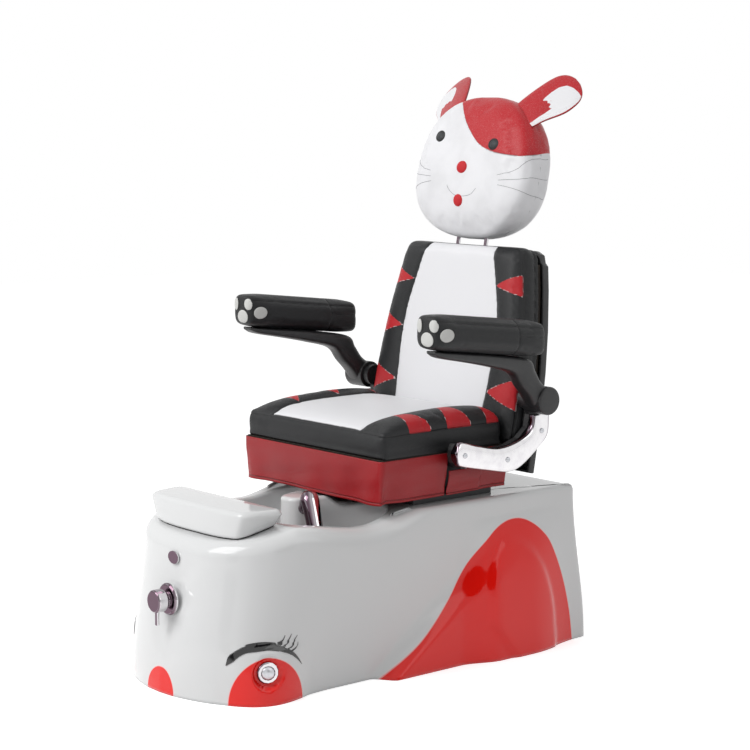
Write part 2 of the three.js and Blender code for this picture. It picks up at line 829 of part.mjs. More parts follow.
const chair = new THREE.Group();
function piece(name, geometry, finish, parent = chair) {
  const mesh = new THREE.Mesh(geometry, finish);
  mesh.name = name;
  parent.add(mesh);
  return mesh;
}

// Footrest
const footrestEdgeShares = [[0, 0], [0.3, 0.02], [0.6, 0.2], [0.82, 0.62], [0.92, 1]];
function footrestOutline(inset, flare) {
  const right = footrestEdgeShares.map(([x, y]) => [
    x * (footrestHalfWidth - inset + flare),
    mix(footrestFrontY + inset, footrestCornerY + inset, y),
  ]);
  const side = footrestHalfWidth - inset + flare;
  const cornerLength = (footrestRearY - footrestCornerY) / 7;
  right.push([side * 0.975, footrestCornerY + inset + cornerLength]);
  right.push([side, footrestCornerY + inset + 2.2 * cornerLength]);
  right.push([side * 1.03, footrestRearY - inset - 1.4 * cornerLength]);
  right.push([side * 1.02, footrestRearY - inset - 0.4 * cornerLength]);
  right.push([side * 0.99, footrestRearY - inset]);
  return right;
}

function footrestBlock(lowOffset, levels) {
  const rings = levels.map(({ inset, flare, height }) => {
    const right = footrestOutline(inset, flare);
    const left = right.slice(1).reverse().map(([x, y]) => [-x, y]);
    return [...right, ...left].map(([x, y]) => new THREE.Vector3(
      x,
      y,
      height === null ? saddleHeight(y) + lowOffset : height(saddleHeight(y) + lowOffset),
    ));
  });
  const count = rings[0].length;
  const points = rings.flat();
  const faces = ringFaces(rings.length, count);
  faces.push(...acrossFaces(0, count, true), ...acrossFaces(points.length - count, count, false));
  return closedBody(points, faces);
}

const gasketBottom = fitGap;
const footrestBottom = gasketBottom + gasketThickness + fitGap;
piece('footrest', footrestBlock(footrestBottom, [
  { inset: footrestFoot / 4, flare: 0, height: null },
  { inset: 0, flare: footrestFoot / 4, height: (low) => low + footrestFoot },
  { inset: 0, flare: footrestFlare * 0.6, height: (low) => mix(low, footrestTop, 0.55) },
  { inset: 0, flare: footrestFlare, height: () => footrestTop - footrestEdge },
  { inset: footrestEdge * 0.3, flare: footrestFlare, height: () => footrestTop - footrestEdge * 0.3 },
  { inset: footrestEdge, flare: footrestFlare, height: () => footrestTop },
]), gelcoat());
piece('footrest_gasket', footrestBlock(gasketBottom, [
  { inset: gasketInset, flare: 0, height: null },
  { inset: gasketInset, flare: 0, height: (low) => low + gasketThickness },
]), rubber());
piece('tub_shell', tubShell(), gelcoat());

// Base frame: two rails and three cross members that reach the tub's inner walls, on levelling feet
function baseFrame() {
  const top = frameBottom + railSize;
  const rails = [-1, 1].map((side) => slab(
    [side * frameHalfSpan - railSize / 2, frameFrontY, frameBottom],
    [side * frameHalfSpan + railSize / 2, frameRearY + railSize, top],
  ));
  const members = [frameFrontY, frameMidY, frameRearY].map((y) => slab(
    [-tubLength / 2, y, frameBottom],
    [tubLength / 2, y + railSize, top],
  ));
  return common(join(...rails, ...members), tubBody(tubWall + 2 * fitGap, -overrun));
}
piece('base_frame', baseFrame(), darkSteel());
const feetPlaces = [
  ['levelling_foot_front_left', frameHalfSpan, frameFrontY + railSize / 2],
  ['levelling_foot_front_right', -frameHalfSpan, frameFrontY + railSize / 2],
  ['levelling_foot_rear_left', frameHalfSpan, frameRearY + railSize / 2],
  ['levelling_foot_rear_right', -frameHalfSpan, frameRearY + railSize / 2],
];
feetPlaces.forEach(([name, x, y]) => {
  const foot = turned([
    [0, 0],
    [footPadRadius, 0],
    [footPadRadius, footPadHeight / 2],
    [footStemRadius * 2, footPadHeight],
    [footStemRadius, footPadHeight],
    [footStemRadius, frameBottom - fitGap],
    [0, frameBottom - fitGap],
  ], 10).rotateX(Math.PI / 2).translate(x, y, 0);
  piece(name, foot, blackPlastic());
});

// Rear access panel, seated in its recess
piece('rear_access_panel', rearSlab(panelHalfWidth, panelHeight, 0, panelThickness), gelcoat());

// Front mixer: escutcheon, valve body behind it, turning collar and single lever
piece('mixer_escutcheon', turned([
  [valveBoreRadius, mixerFaceY - fitGap],
  [escutcheonRadius, mixerFaceY - fitGap],
  [escutcheonRadius, mixerFaceY - fitGap - escutcheonThickness / 2],
  [escutcheonRadius - escutcheonThickness / 2, mixerFaceY - fitGap - escutcheonThickness],
  [valveBoreRadius, mixerFaceY - fitGap - escutcheonThickness],
  [valveBoreRadius, mixerFaceY - fitGap],
]).translate(0, 0, mixerHeight), chrome());
const escutcheonFront = mixerFaceY - fitGap - escutcheonThickness;
function mixerValve() {
  const rear = mixerFaceY + mixerBossDepth + fitGap;
  const body = turned([
    [0, escutcheonFront + runningGap],
    [valveNeckRadius, escutcheonFront + runningGap],
    [valveNeckRadius, rear],
    [valveBodyRadius, rear],
    [valveBodyRadius, rear + valveBodyLength],
    [0, rear + valveBodyLength],
  ], 16).translate(0, 0, mixerHeight);
  const tailY = rear + valveBodyLength / 2;
  const bridgeEnd = valveTailSpread + valveTailRadius;
  const bridge = rodX(valveTailRadius, -bridgeEnd, bridgeEnd, tailY, mixerHeight, 12);
  const tails = [-1, 1].map((side) => rodZ(
    valveTailRadius,
    mixerHeight - valveTailLength,
    mixerHeight,
    side * valveTailSpread,
    tailY,
    12,
  ));
  const outlet = rodZ(valveTailRadius, mixerHeight - valveTailLength, mixerHeight, 0, tailY, 12);
  return join(body, bridge, ...tails, outlet);
}
piece('mixer_valve', mixerValve(), zincSteel());
const collarFront = escutcheonFront - fitGap - collarThickness;
const ballY = collarFront - ballRadius * 0.75;
piece('mixer_collar', join(
  turned([
    [0, escutcheonFront - fitGap],
    [collarRadius, escutcheonFront - fitGap],
    [collarRadius, collarFront],
    [collarNeckRadius, collarFront],
    [collarNeckRadius, ballY],
    [0, ballY],
  ]),
  new THREE.SphereGeometry(ballRadius, 12, 7).translate(0, ballY, 0),
).translate(0, 0, mixerHeight), chrome());
function mixerHandle() {
  const rear = ballY + ballRadius * handleRearShare;
  const front = escutcheonFront - handleRear - handleLength + ballRadius;
  const cup = turned([
    [0, rear],
    [handleRadius - handleBevel, rear],
    [handleRadius, rear - handleBevel],
    [handleRadius, front + handleBevel],
    [handleRadius - handleBevel, front],
    [0, front],
  ], 24);
  const socket = new THREE.SphereGeometry(ballRadius + runningGap, 12, 7).translate(0, ballY, 0);
  const pinY = mix(front, rear, 0.4);
  const pin = rodZ(leverRadius, -handleRadius - leverLength, -handleRadius / 2, 0, pinY, 16);
  return cut(join(cup, pin), socket).translate(0, 0, mixerHeight);
}
piece('mixer_handle', mixerHandle(), chrome());

// Blank oval badge on its flat
piece('badge_plate', join(new THREE.CylinderGeometry(1, 1, badgeThickness, 24)
  .scale(badgeHalfWidth, 1, badgeHalfHeight))
  .translate(0, badgeFaceY - fitGap - badgeThickness / 2, badgeHeight), chrome());

// Eye buttons in their bezels
function eyeBezel() {
  return alongLevel(turned([
    [bezelBoreRadius, -eyeBossDepth],
    [buttonHoleRadius - fitGap, -eyeBossDepth],
    [buttonHoleRadius - fitGap, fitGap],
    [bezelRadius, fitGap],
    [bezelRadius, fitGap + bezelThickness / 2],
    [bezelRadius - bezelThickness / 2, fitGap + bezelThickness],
    [buttonRadius + runningGap, fitGap + bezelThickness],
    [buttonRadius + runningGap, -buttonTravel - fitGap],
    [bezelBoreRadius, -buttonTravel - fitGap],
    [bezelBoreRadius, -eyeBossDepth],
  ], 14), eyeAxis, eyePlace);
}
function eyeButton() {
  const face = fitGap + bezelThickness;
  return alongLevel(turned([
    [0, -eyeBossDepth / 2],
    [buttonStemRadius, -eyeBossDepth / 2],
    [buttonStemRadius, fitGap],
    [buttonRadius, fitGap],
    [buttonRadius, face],
    [buttonRadius * 0.8, face + buttonRise * 0.6],
    [buttonRadius * 0.4, face + buttonRise * 0.95],
    [0, face + buttonRise],
  ], 12), eyeAxis, eyePlace);
}
piece('button_bezel_left', eyeBezel(), chrome());
piece('button_bezel_right', mirrored(eyeBezel()), chrome());
piece('eye_button_left', eyeButton(), blackPlastic());
piece('eye_button_right', mirrored(eyeButton()), blackPlastic());

// Spout: a flange on the nose's side and a fat arched outlet over the basin
piece('spout_flange', alongLevel(turned([
  [hoseRadius + fitGap, 0],
  [flangeRadius, 0],
  [flangeRadius, flangeThickness / 2],
  [flangeRadius - flangeThickness / 2, flangeThickness],
  [hoseRadius + fitGap, flangeThickness],
  [hoseRadius + fitGap, 0],
], 20), spoutAxis, spoutPlace), chrome());
const spoutAt = (out, up) => spoutPlace.clone().addScaledVector(spoutAxis, out).setZ(spoutPlace.z + up);
function spout() {
  const root = spoutAt(flangeThickness + fitGap, 0);
  const elbow = spoutAt(spoutReach, spoutArch);
  const tail = spoutAt(spoutTailReach, -spoutFall);
  const neck = alongLevel(
    new THREE.CylinderGeometry(spoutNeckRadius, spoutNeckRadius, spoutReach / 2, 14)
      .translate(0, flangeThickness + fitGap + spoutReach / 4, 0),
    spoutAxis,
    spoutPlace,
  );
  const neckEnd = root.clone().lerp(elbow, 0.58);
  const rise = taperedBar(neckEnd, elbow, spoutNeckRadius, spoutElbowRadius * 0.95, 14);
  const knuckle = new THREE.SphereGeometry(spoutElbowRadius, 14, 8).translate(elbow.x, elbow.y, elbow.z);
  const drop = taperedBar(elbow, tail, spoutElbowRadius * 0.95, spoutOutletRadius, 14);
  return join(neck, rise, knuckle, drop);
}
piece('spout', spout(), chrome());
const hoseStart = new THREE.Vector3(
  0,
  mixerFaceY + mixerBossDepth + fitGap + valveBodyLength / 2,
  mixerHeight - valveTailLength - hoseEndGap,
);
const underBasin = (basinFloor - tubWall + frameBottom + railSize) / 2;
piece('supply_hose', tube([
  hoseStart,
  hoseStart.clone().setZ(hoseStart.z - 3 * hoseRadius),
  new THREE.Vector3(0, mix(hoseStart.y, basinFrontY, 0.6), underBasin),
  new THREE.Vector3(0, basinFrontY + overrun, underBasin),
  new THREE.Vector3(0, noseTipY, underBasin),
  new THREE.Vector3(0, mix(noseTipY, noseRearY, 0.65), mix(underBasin, basinFloor, 0.8)),
  new THREE.Vector3(0, mix(noseTipY, noseRearY, 0.55), mix(basinFloor, spoutFlangeHeight, 0.5)),
  hoseWell.clone().setZ(spoutFlangeHeight - 2.5 * overrun),
  hoseWell.clone().setZ(spoutFlangeHeight - hoseRadius * 1.2),
  spoutAt(-hoseWellRadius / 2, 0),
  spoutAt(-2 * fitGap, 0),
], hoseRadius, 3, 20), rubber());

// Water jet: housing through the floor, grille, impeller and motor
function jetHousing() {
  return turned([
    [0, basinFloor - tubWall - jetBodyDepth],
    [jetBodyRadius, basinFloor - tubWall - jetBodyDepth],
    [jetBodyRadius, basinFloor + fitGap],
    [jetFlangeRadius, basinFloor + fitGap],
    [jetFlangeRadius, basinFloor + fitGap + jetFlangeThickness],
    [jetPocketRadius, basinFloor + fitGap + jetFlangeThickness],
    [jetPocketRadius, basinFloor - tubWall - jetBodyDepth / 2],
    [0, basinFloor - tubWall - jetBodyDepth / 2],
  ]).rotateX(Math.PI / 2).translate(jetX, jetY, 0);
}
piece('jet_housing', jetHousing(), greyPlastic());
const coverBottom = basinFloor + jetFlangeThickness + 2 * fitGap;
function jetCover() {
  const cover = turned([
    [0, coverBottom],
    [jetFlangeRadius, coverBottom],
    [jetFlangeRadius - jetCoverBevel, coverBottom + jetCoverHeight * 0.6],
    [jetFlangeRadius * 0.7, coverBottom + jetCoverHeight],
    [0, coverBottom + jetCoverHeight],
  ], 20);
  const hollow = turned([
    [0, coverBottom - overrun],
    [jetPocketRadius, coverBottom - overrun],
    [jetPocketRadius, coverBottom + jetCoverHeight / 2],
    [0, coverBottom + jetCoverHeight / 2],
  ], 20);
  const slots = [-2, -1, 0, 1, 2].map((row) => slab(
    [(row * 2 - 0.5) * jetSlotWidth, coverBottom - overrun, -jetPocketRadius * 0.7],
    [(row * 2 + 0.5) * jetSlotWidth, coverBottom + overrun, jetPocketRadius * 0.7],
  ));
  return cut(cover, hollow, ...slots).rotateX(Math.PI / 2).translate(jetX, jetY, 0);
}
piece('jet_cover', jetCover(), chrome());
const impellerBottom = basinFloor - tubWall - jetBodyDepth / 2 + fitGap;
function jetImpeller() {
  const hubTop = impellerBottom + impellerThickness * 1.3;
  const hub = rodZ(impellerHubRadius, impellerBottom, hubTop, jetX, jetY, 16);
  const blades = Array.from({ length: impellerBlades }, (_, blade) => slab(
    [0, -impellerBladeThickness / 2, impellerBottom + runningGap],
    [impellerRadius, impellerBladeThickness / 2, impellerBottom + impellerThickness],
  ).rotateZ((blade / impellerBlades) * 2 * Math.PI).translate(jetX, jetY, 0));
  return join(hub, ...blades);
}
piece('jet_impeller', jetImpeller(), greyPlastic());
const motorTop = basinFloor - tubWall - jetBodyDepth - fitGap;
piece('jet_motor', rodZ(motorRadius, motorTop - motorHeight, motorTop, jetX, jetY, 20), darkSteel());

// Drain: a dished flange on the floor, and its pipe to the rear wall
function drainFitting() {
  const bend = basinFloor - drainDrop;
  const stops = [
    new THREE.Vector3(drainX, drainY, basinFloor - tubWall),
    new THREE.Vector3(drainX, drainY, bend + drainPipeRadius * 1.6),
    new THREE.Vector3(drainX, drainY + drainPipeRadius * 0.5, bend + drainPipeRadius * 0.5),
    new THREE.Vector3(drainX, drainY + drainPipeRadius * 1.8, bend),
    new THREE.Vector3(drainX, mix(drainY, drainOutletY, 0.5), bend),
    new THREE.Vector3(drainX, drainOutletY, bend),
  ];
  const pipe = tube(stops, drainPipeRadius, 5, 6, drainBoreRadius);
  const collarBottom = basinFloor - 2 * tubWall;
  const flangeBottom = basinFloor + fitGap;
  const collarTop = basinFloor + drainFlangeThickness / 2;
  const collar = rodZ(drainPipeRadius, collarBottom, collarTop, drainX, drainY, 16);
  const flangeTop = flangeBottom + drainFlangeThickness;
  const flange = rodZ(drainFlangeRadius, flangeBottom, flangeTop, drainX, drainY, 18);
  const bore = rodZ(drainBoreRadius, collarBottom - overrun, basinFloor + overrun, drainX, drainY, 16);
  return join(pipe, cut(join(collar, flange), bore));
}
piece('drain_fitting', drainFitting(), chrome());

// Seat slide: fixed base with two rails, and the carriage that runs on them
const slideBaseTop = deckHeight + fitGap + slideBaseThickness;
function slideBase() {
  const base = slab(
    [-slideHalfWidth, slideFrontY, deckHeight + fitGap],
    [slideHalfWidth, slideRearY, slideBaseTop],
  );
  const tongue = slab(
    [-slideTongueHalfWidth, slideTongueFrontY, deckHeight + fitGap],
    [slideTongueHalfWidth, slideFrontY + overrun, slideBaseTop],
  );
  const tongueStop = slab(
    [-slideTongueHalfWidth, slideTongueFrontY, deckHeight + fitGap],
    [slideTongueHalfWidth, slideFrontY - overrun, slideBaseTop + slideRailHeight],
  );
  const rails = [-1, 1].map((side) => slab(
    [side * slideRailX - slideRailWidth / 2, slideFrontY, deckHeight + fitGap],
    [side * slideRailX + slideRailWidth / 2, slideRearY, slideBaseTop + slideRailHeight],
  ));
  return join(base, tongue, tongueStop, ...rails);
}
piece('slide_base', slideBase(), darkSteel());

const seat = new THREE.Group();
chair.add(seat);
const carriageBottom = slideBaseTop + fitGap;
const carriageTop = carriageBottom + carriageThickness;
function slideCarriage() {
  const corner = [slideHalfWidth, slideRearY, carriageTop];
  const body = slab([-slideHalfWidth, slideFrontY, carriageBottom], corner);
  const grooves = [-1, 1].map((side) => slab(
    [side * slideRailX - slideRailWidth / 2 - runningGap, slideFrontY - overrun, carriageBottom - overrun],
    [
      side * slideRailX + slideRailWidth / 2 + runningGap,
      slideRearY + overrun,
      slideBaseTop + slideRailHeight + fitGap,
    ],
  ));
  return cut(body, ...grooves);
}
piece('slide_carriage', slideCarriage(), darkSteel(), seat);

const boardTop = seatCushionBottom - fitGap;
const boardBottom = boardTop - seatBoardThickness;
const frameTop = boardBottom - fitGap;
const boardHalfWidth = seatHalfWidth - seatBoardInset;
function seatFrame() {
  const bottom = carriageTop + fitGap;
  const boxLow = [-seatFrameHalfWidth, seatFrameFrontY, bottom];
  const box = slab(boxLow, [seatFrameHalfWidth, seatFrameRearY, frameTop]);
  const hollow = slab(
    [-seatFrameHalfWidth + seatFrameWall, seatFrameFrontY + seatFrameWall, bottom - overrun],
    [seatFrameHalfWidth - seatFrameWall, seatFrameRearY - seatFrameWall, frameTop + overrun],
  );
  const wings = slab(
    [-boardHalfWidth + wingInset, skirtSplitY + 2 * skirtSplitGap, frameTop - seatFrameWall],
    [boardHalfWidth - wingInset, skirtSplitY + 2 * skirtSplitGap + 2 * lugHalfLength, frameTop],
  );
  const lugStart = releaseHalfWidth + releaseBarRadius + 2 * runningGap;
  const lugs = [-1, 1].map((side) => slab(
    [Math.min(side * lugStart, side * (lugStart + releaseLugThickness)), releasePivotY - releaseLugHalfHeight,
      releasePivotHeight - releaseLugHalfHeight],
    [Math.max(side * lugStart, side * (lugStart + releaseLugThickness)), seatFrameFrontY + seatFrameWall / 2,
      releasePivotHeight + releaseLugHalfHeight],
  ));
  const lugBores = rodX(
    releasePinRadius + fitGap,
    -seatFrameHalfWidth,
    seatFrameHalfWidth,
    releasePivotY,
    releasePivotHeight,
    12,
  );
  return join(cut(box, hollow), cut(wings, hollow), ...lugs.map((lug) => cut(lug, lugBores)));
}
piece('seat_frame', seatFrame(), darkSteel(), seat);
piece('seat_board', slab(
  [-boardHalfWidth, seatFrontY + seatBoardInset, boardBottom],
  [boardHalfWidth, seatRearY - seatBoardRearInset, boardTop],
), plywood(), seat);

// A padded slab in its own frame: x across, y along, z out of its face. The face is a grid with a
// rolled edge, and the sides are drawn in between two swells.
function cushion({ columns, rows, halfWidthAt, length, corner, faceAt, sideSwells }) {
  const points = [];
  const grid = rows.map((v) => columns.map((u) => {
    const half = halfWidthAt(v);
    const overX = Math.abs(u * half) - (half - corner);
    const overY = Math.abs(v * length - length / 2) - (length / 2 - corner);
    let x = u * half;
    let y = v * length;
    if (overX > 0 && overY > 0) {
      const pull = Math.max(overX, overY) / Math.hypot(overX, overY);
      x = Math.sign(u) * (half - corner + overX * pull);
      y = length / 2 + Math.sign(v - 0.5) * (length / 2 - corner + overY * pull);
    }
    return points.push(new THREE.Vector3(x, y, faceAt(u, v))) - 1;
  }));
  const faces = [];
  for (let row = 0; row + 1 < rows.length; row += 1) {
    for (let column = 0; column + 1 < columns.length; column += 1) {
      const a = grid[row][column];
      const b = grid[row][column + 1];
      const c = grid[row + 1][column + 1];
      const d = grid[row + 1][column];
      faces.push([a, b, c], [a, c, d]);
    }
  }
  const lastRow = grid.at(-1);
  const loop = [
    ...grid[0].slice(0, -1),
    ...grid.map((row) => row.at(-1)).slice(0, -1),
    ...lastRow.slice(1).reverse(),
    ...grid.map((row) => row[0]).slice(1).reverse(),
  ];
  const edge = loop.map((index) => points[index]);
  let above = loop;
  sideSwells.forEach(([swell, heightShare]) => {
    const below = edge.map((point, spot) => {
      const before = edge[(spot + edge.length - 1) % edge.length];
      const after = edge[(spot + 1) % edge.length];
      const run = new THREE.Vector2(after.x - before.x, after.y - before.y).normalize();
      return points.push(new THREE.Vector3(
        point.x + run.y * swell,
        point.y - run.x * swell,
        point.z * heightShare,
      )) - 1;
    });
    below.forEach((index, spot) => {
      const next = (spot + 1) % below.length;
      faces.push([above[next], above[spot], index], [above[next], index, below[next]]);
    });
    above = below;
  });
  const flat = above.map((index) => new THREE.Vector2(points[index].x, points[index].y));
  THREE.ShapeUtils.triangulateShape(flat, []).forEach(([a, b, c]) => {
    faces.push([above[a], above[c], above[b]]);
  });
  return closedBody(points, faces);
}
const rolled = (share, band) => {
  const into = Math.max(0, (Math.abs(share) - (1 - band)) / band);
  return 1 - Math.sqrt(Math.max(0, 1 - into * into));
};
const groove = (share, seam, width) => Math.exp(-(((Math.abs(share) - seam) / width) ** 2));

const seatColumnShares = [0, 0.3, 0.58, 0.63, 0.68, 0.8, 0.9, 0.96, 1];
const seatRowShares = [0, 0.04, 0.1, 0.28, 0.5, 0.72, 0.9, 0.96, 1];
const bothWays = (shares) => [...shares.slice(1).reverse().map((share) => -share), ...shares];
const seatEdgeRoll = 7;
const seatBolsterRise = 7;
function seatFace(u, v) {
  const along = 2 * v - 1;
  const roll = seatEdgeRoll * (rolled(u, 0.1) + rolled(along, 0.1));
  const onBolster = Math.max(0, (Math.abs(u) - seatSeamShare) / (1 - seatSeamShare));
  const bolster = seatBolsterRise * Math.sin(Math.PI * onBolster) * (1 - rolled(along, 0.5));
  const crown = seatCrown * (1 - Math.abs(along) ** 2.4) * (1 - (u * 0.6) ** 2);
  const seam = seatGrooveDepth * groove(u, seatSeamShare, 0.03) * (1 - rolled(along, 0.2));
  return seatCushionThickness + crown + bolster - seam - Math.min(roll, seatEdgeRoll * 1.3);
}
piece('seat_cushion', cushion({
  columns: bothWays(seatColumnShares),
  rows: seatRowShares,
  halfWidthAt: () => seatHalfWidth,
  length: seatRearY - seatFrontY,
  corner: seatCorner,
  faceAt: seatFace,
  sideSwells: [[1.5, 0.9], [0.4, 0.75], [-1.2, 0.5], [0.2, 0.18], [-2, 0]],
}).translate(0, seatFrontY, seatCushionBottom), blackVinyl(), seat);

// Skirts: cloth sheets that hang from the board, with shallow folds that grow towards the hem
const skirtTop = boardTop - skirtTopGap;
const skirtOuter = boardHalfWidth + fitGap + skirtThickness;
const skirtFrontY = seatFrontY - skirtProud;
const skirtLevelShares = [0, 0.2, 0.6, 1];
function skirtSheet(path) {
  const sections = path.map(({ x, y, outX, outY }, spot) => {
    const wave = Math.sin(spot * skirtWaveTurnShare) * skirtFold * (1 - 2 * Math.abs(outX * outY));
    const nearFront = Math.max(0, skirtSplitY - y) / (skirtSplitY - skirtFrontY);
    const lines = skirtLevelShares.map((share) => {
      const push = wave * share * share;
      const drawn = smooth((share - skirtLevelShares[1]) / (1 - skirtLevelShares[1]));
      const z = mix(skirtTop, skirtBottom, share);
      const draw = (back) => new THREE.Vector3(
        x * (1 - skirtTaper * drawn / skirtOuter) + outX * (push - back),
        y + skirtFrontTaper * drawn * nearFront + outY * (push - back),
        z,
      );
      return [draw(0), draw(skirtThickness)];
    });
    return [...lines.map(([outer]) => outer), ...lines.map(([, inner]) => inner).reverse()];
  });
  return loft(sections);
}
function skirtFrontPath() {
  const sideSteps = 6;
  const frontSteps = 14;
  const cornerSteps = 5;
  const half = [];
  for (let step = 0; step <= frontSteps / 2; step += 1) {
    half.push({ x: (skirtOuter - skirtCorner) * step / (frontSteps / 2), y: skirtFrontY, outX: 0, outY: -1 });
  }
  for (let step = 1; step <= cornerSteps; step += 1) {
    const angle = (step / cornerSteps) * Math.PI / 2;
    half.push({
      x: skirtOuter - skirtCorner * (1 - Math.sin(angle)),
      y: skirtFrontY + skirtCorner * (1 - Math.cos(angle)),
      outX: Math.sin(angle),
      outY: -Math.cos(angle),
    });
  }
  for (let step = 1; step <= sideSteps; step += 1) {
    half.push({
      x: skirtOuter,
      y: mix(skirtFrontY + skirtCorner, skirtSplitY, step / sideSteps),
      outX: 1,
      outY: 0,
    });
  }
  return [...half.slice(1).reverse().map((stop) => ({ ...stop, x: -stop.x, outX: -stop.outX })), ...half];
}
piece('skirt_front', skirtSheet(skirtFrontPath()), redVinyl(), seat);
function skirtSide() {
  const steps = 9;
  const path = Array.from({ length: steps }, (_, step) => ({
    x: skirtOuter,
    y: mix(skirtSplitY + skirtSplitGap, skirtRearY, step / (steps - 1)),
    outX: 1,
    outY: 0,
  }));
  const notch = slab(
    [boardHalfWidth - overrun, skirtSplitY - overrun, skirtNotchBottom],
    [skirtOuter + overrun, skirtNotchRearY, skirtTop + overrun],
  );
  return cut(skirtSheet(path), notch);
}
piece('skirt_side_left', skirtSide(), redVinyl(), seat);
piece('skirt_side_right', mirrored(skirtSide()), redVinyl(), seat);

// Backrest frame of reference: x across, y up the recline, z out of the face
const backOrigin = new THREE.Vector3(
  0,
  backFootY + backCushionThickness * Math.cos(recline),
  backFootHeight - backCushionThickness * Math.sin(recline),
);
const backBasis = new THREE.Matrix4().makeBasis(
  new THREE.Vector3(1, 0, 0),
  new THREE.Vector3(0, Math.sin(recline), Math.cos(recline)),
  new THREE.Vector3(0, -Math.cos(recline), Math.sin(recline)),
).setPosition(backOrigin);
const onBack = (geometry) => geometry.clone().applyMatrix4(backBasis);
const backPoint = (x, up, out) => new THREE.Vector3(x, up, out).applyMatrix4(backBasis);
const backHalfAt = (v) => backHalfWidth - backTopNarrowing * Math.max(0, v) ** 2.2;

const backColumnShares = [0, 0.3, 0.55, 0.6, 0.65, 0.78, 0.9, 0.96, 1];
const backRowShares = [0, 0.05, 0.14, 0.3, 0.5, 0.68, 0.84, 0.93, 0.97, 1];
const backEdgeRoll = 9;
function backFace(u, v) {
  const along = 2 * v - 1;
  const roll = backEdgeRoll * (rolled(u, 0.12) + rolled(along, 0.1));
  const wing = Math.max(0, (Math.abs(u) - backSeamShare) / (1 - backSeamShare));
  const lumbar = backLumbar * (1 - along * along) * (1 - u * u);
  const seam = backGrooveDepth * groove(u, backSeamShare, 0.03) * (1 - rolled(along, 0.2));
  return backCushionThickness - lumbar - backCrown * wing ** 2 - seam - Math.min(roll, backEdgeRoll * 1.3);
}
const postUpStart = headCentreUp - headHalfHeight + postInHead - postLength;
const guideTop = backLength - guideTopInset;
function backCushion() {
  const pad = cushion({
    columns: bothWays(backColumnShares),
    rows: backRowShares,
    halfWidthAt: backHalfAt,
    length: backLength,
    corner: backCorner,
    faceAt: backFace,
    sideSwells: [[1.5, 0.88], [0.3, 0.7], [-1.5, 0.45], [0.2, 0.15], [-2, 0]],
  });
  const pocket = slab(
    [-guideHalfWidth - fitGap, guideTop - guideHeight - fitGap, -overrun],
    [guideHalfWidth + fitGap, guideTop + fitGap, headCentreOut + 2 * postRadius + fitGap],
  );
  const holes = [-1, 1].map((side) => rodY(
    postRadius + runningGap,
    guideTop - guideHeight,
    backLength + overrun,
    side * postSpacing / 2,
    headCentreOut,
    16,
  ));
  return onBack(cut(pad, pocket, ...holes));
}
piece('back_cushion', backCushion(), blackVinyl(), seat);

// Rigid panels behind the cushion follow its outline
function backOutline(inset, drop, rise) {
  const levelShares = [0, 0.2, 0.4, 0.6, 0.8, 0.92];
  const right = levelShares.map((v) => [backHalfAt(v) - inset, v * backLength]);
  right[0][1] = -drop;
  const topHalf = backHalfAt(1) - inset;
  right.push([topHalf, backLength + rise - backCorner]);
  right.push([topHalf - backCorner * 0.3, backLength + rise - backCorner * 0.3]);
  right.push([topHalf - backCorner, backLength + rise]);
  return [...right, ...right.map(([x, y]) => [-x, y]).reverse()];
}
const boardOut = -fitGap;
const coverOut = boardOut - backBoardThickness - fitGap;
const boardOutline = outlineOf(backOutline(backBoardInset, backBoardDrop, -backBoardInset));
piece('back_board', onBack(plate(boardOutline, backBoardThickness)
  .translate(0, 0, boardOut - backBoardThickness)), plywood(), seat);
function backCover() {
  const outline = outlineOf(backOutline(backCoverInset, backCoverDrop, -backCoverInset));
  const shell = new THREE.ExtrudeGeometry(outline, {
    depth: backCoverThickness - backCoverBevel,
    bevelEnabled: true,
    bevelThickness: backCoverBevel,
    bevelSize: backCoverBevel,
    bevelOffset: -backCoverBevel,
    bevelSegments: 2,
  }).translate(0, 0, coverOut - backCoverThickness);
  const faceCut = slab(
    [-backHalfWidth - overrun, -backCoverDrop - overrun, coverOut],
    [backHalfWidth + overrun, backLength + overrun, coverOut + overrun],
  );
  const hollow = plate(outlineOf(backOutline(
    backCoverInset + backCoverWall * 2,
    backCoverDrop - backCoverWall * 2,
    -backCoverInset - backCoverWall * 2,
  )), backCoverThickness + overrun).translate(0, 0, coverOut - backCoverThickness + backCoverWall);
  return onBack(cut(shell, faceCut, hollow));
}
piece('back_cover', backCover(), blackPlastic(), seat);
function postGuide() {
  const blockHigh = [guideHalfWidth, guideTop, headCentreOut + 2 * postRadius];
  const block = slab([-guideHalfWidth, guideTop - guideHeight, 0], blockHigh);
  const bores = [-1, 1].map((side) => rodY(
    postRadius + fitGap,
    guideTop - guideHeight - overrun,
    guideTop + overrun,
    side * postSpacing / 2,
    headCentreOut,
    16,
  ));
  return onBack(cut(block, ...bores));
}
piece('post_guide', postGuide(), blackPlastic(), seat);

// Headrest: the plush head on two posts, with its ears
const head = new THREE.Group();
chair.add(head);
const headRound = 0.42;
const headPillow = 0.84;
function headBody(grown) {
  const ringCount = 13;
  const spots = 24;
  const rings = [];
  for (let level = 0; level < ringCount; level += 1) {
    const rise = mix(-85, 85, level / (ringCount - 1));
    const up = signedPower(Math.sin(radians(rise)), headPillow);
    const width = Math.cos(radians(rise)) ** headPillow * (1 - headTaper * up);
    const ring = [];
    for (let spot = 0; spot < spots; spot += 1) {
      const angle = (spot / spots) * 2 * Math.PI;
      ring.push(new THREE.Vector3(
        (headHalfWidth + grown) * width * signedPower(Math.cos(angle), headRound),
        headCentreUp + (headHalfHeight + grown) * up,
        headCentreOut + (headHalfDepth + grown) * width * signedPower(Math.sin(angle), headRound),
      ));
    }
    rings.push(ring);
  }
  return loft(rings);
}
const headPostTop = postUpStart + postLength;
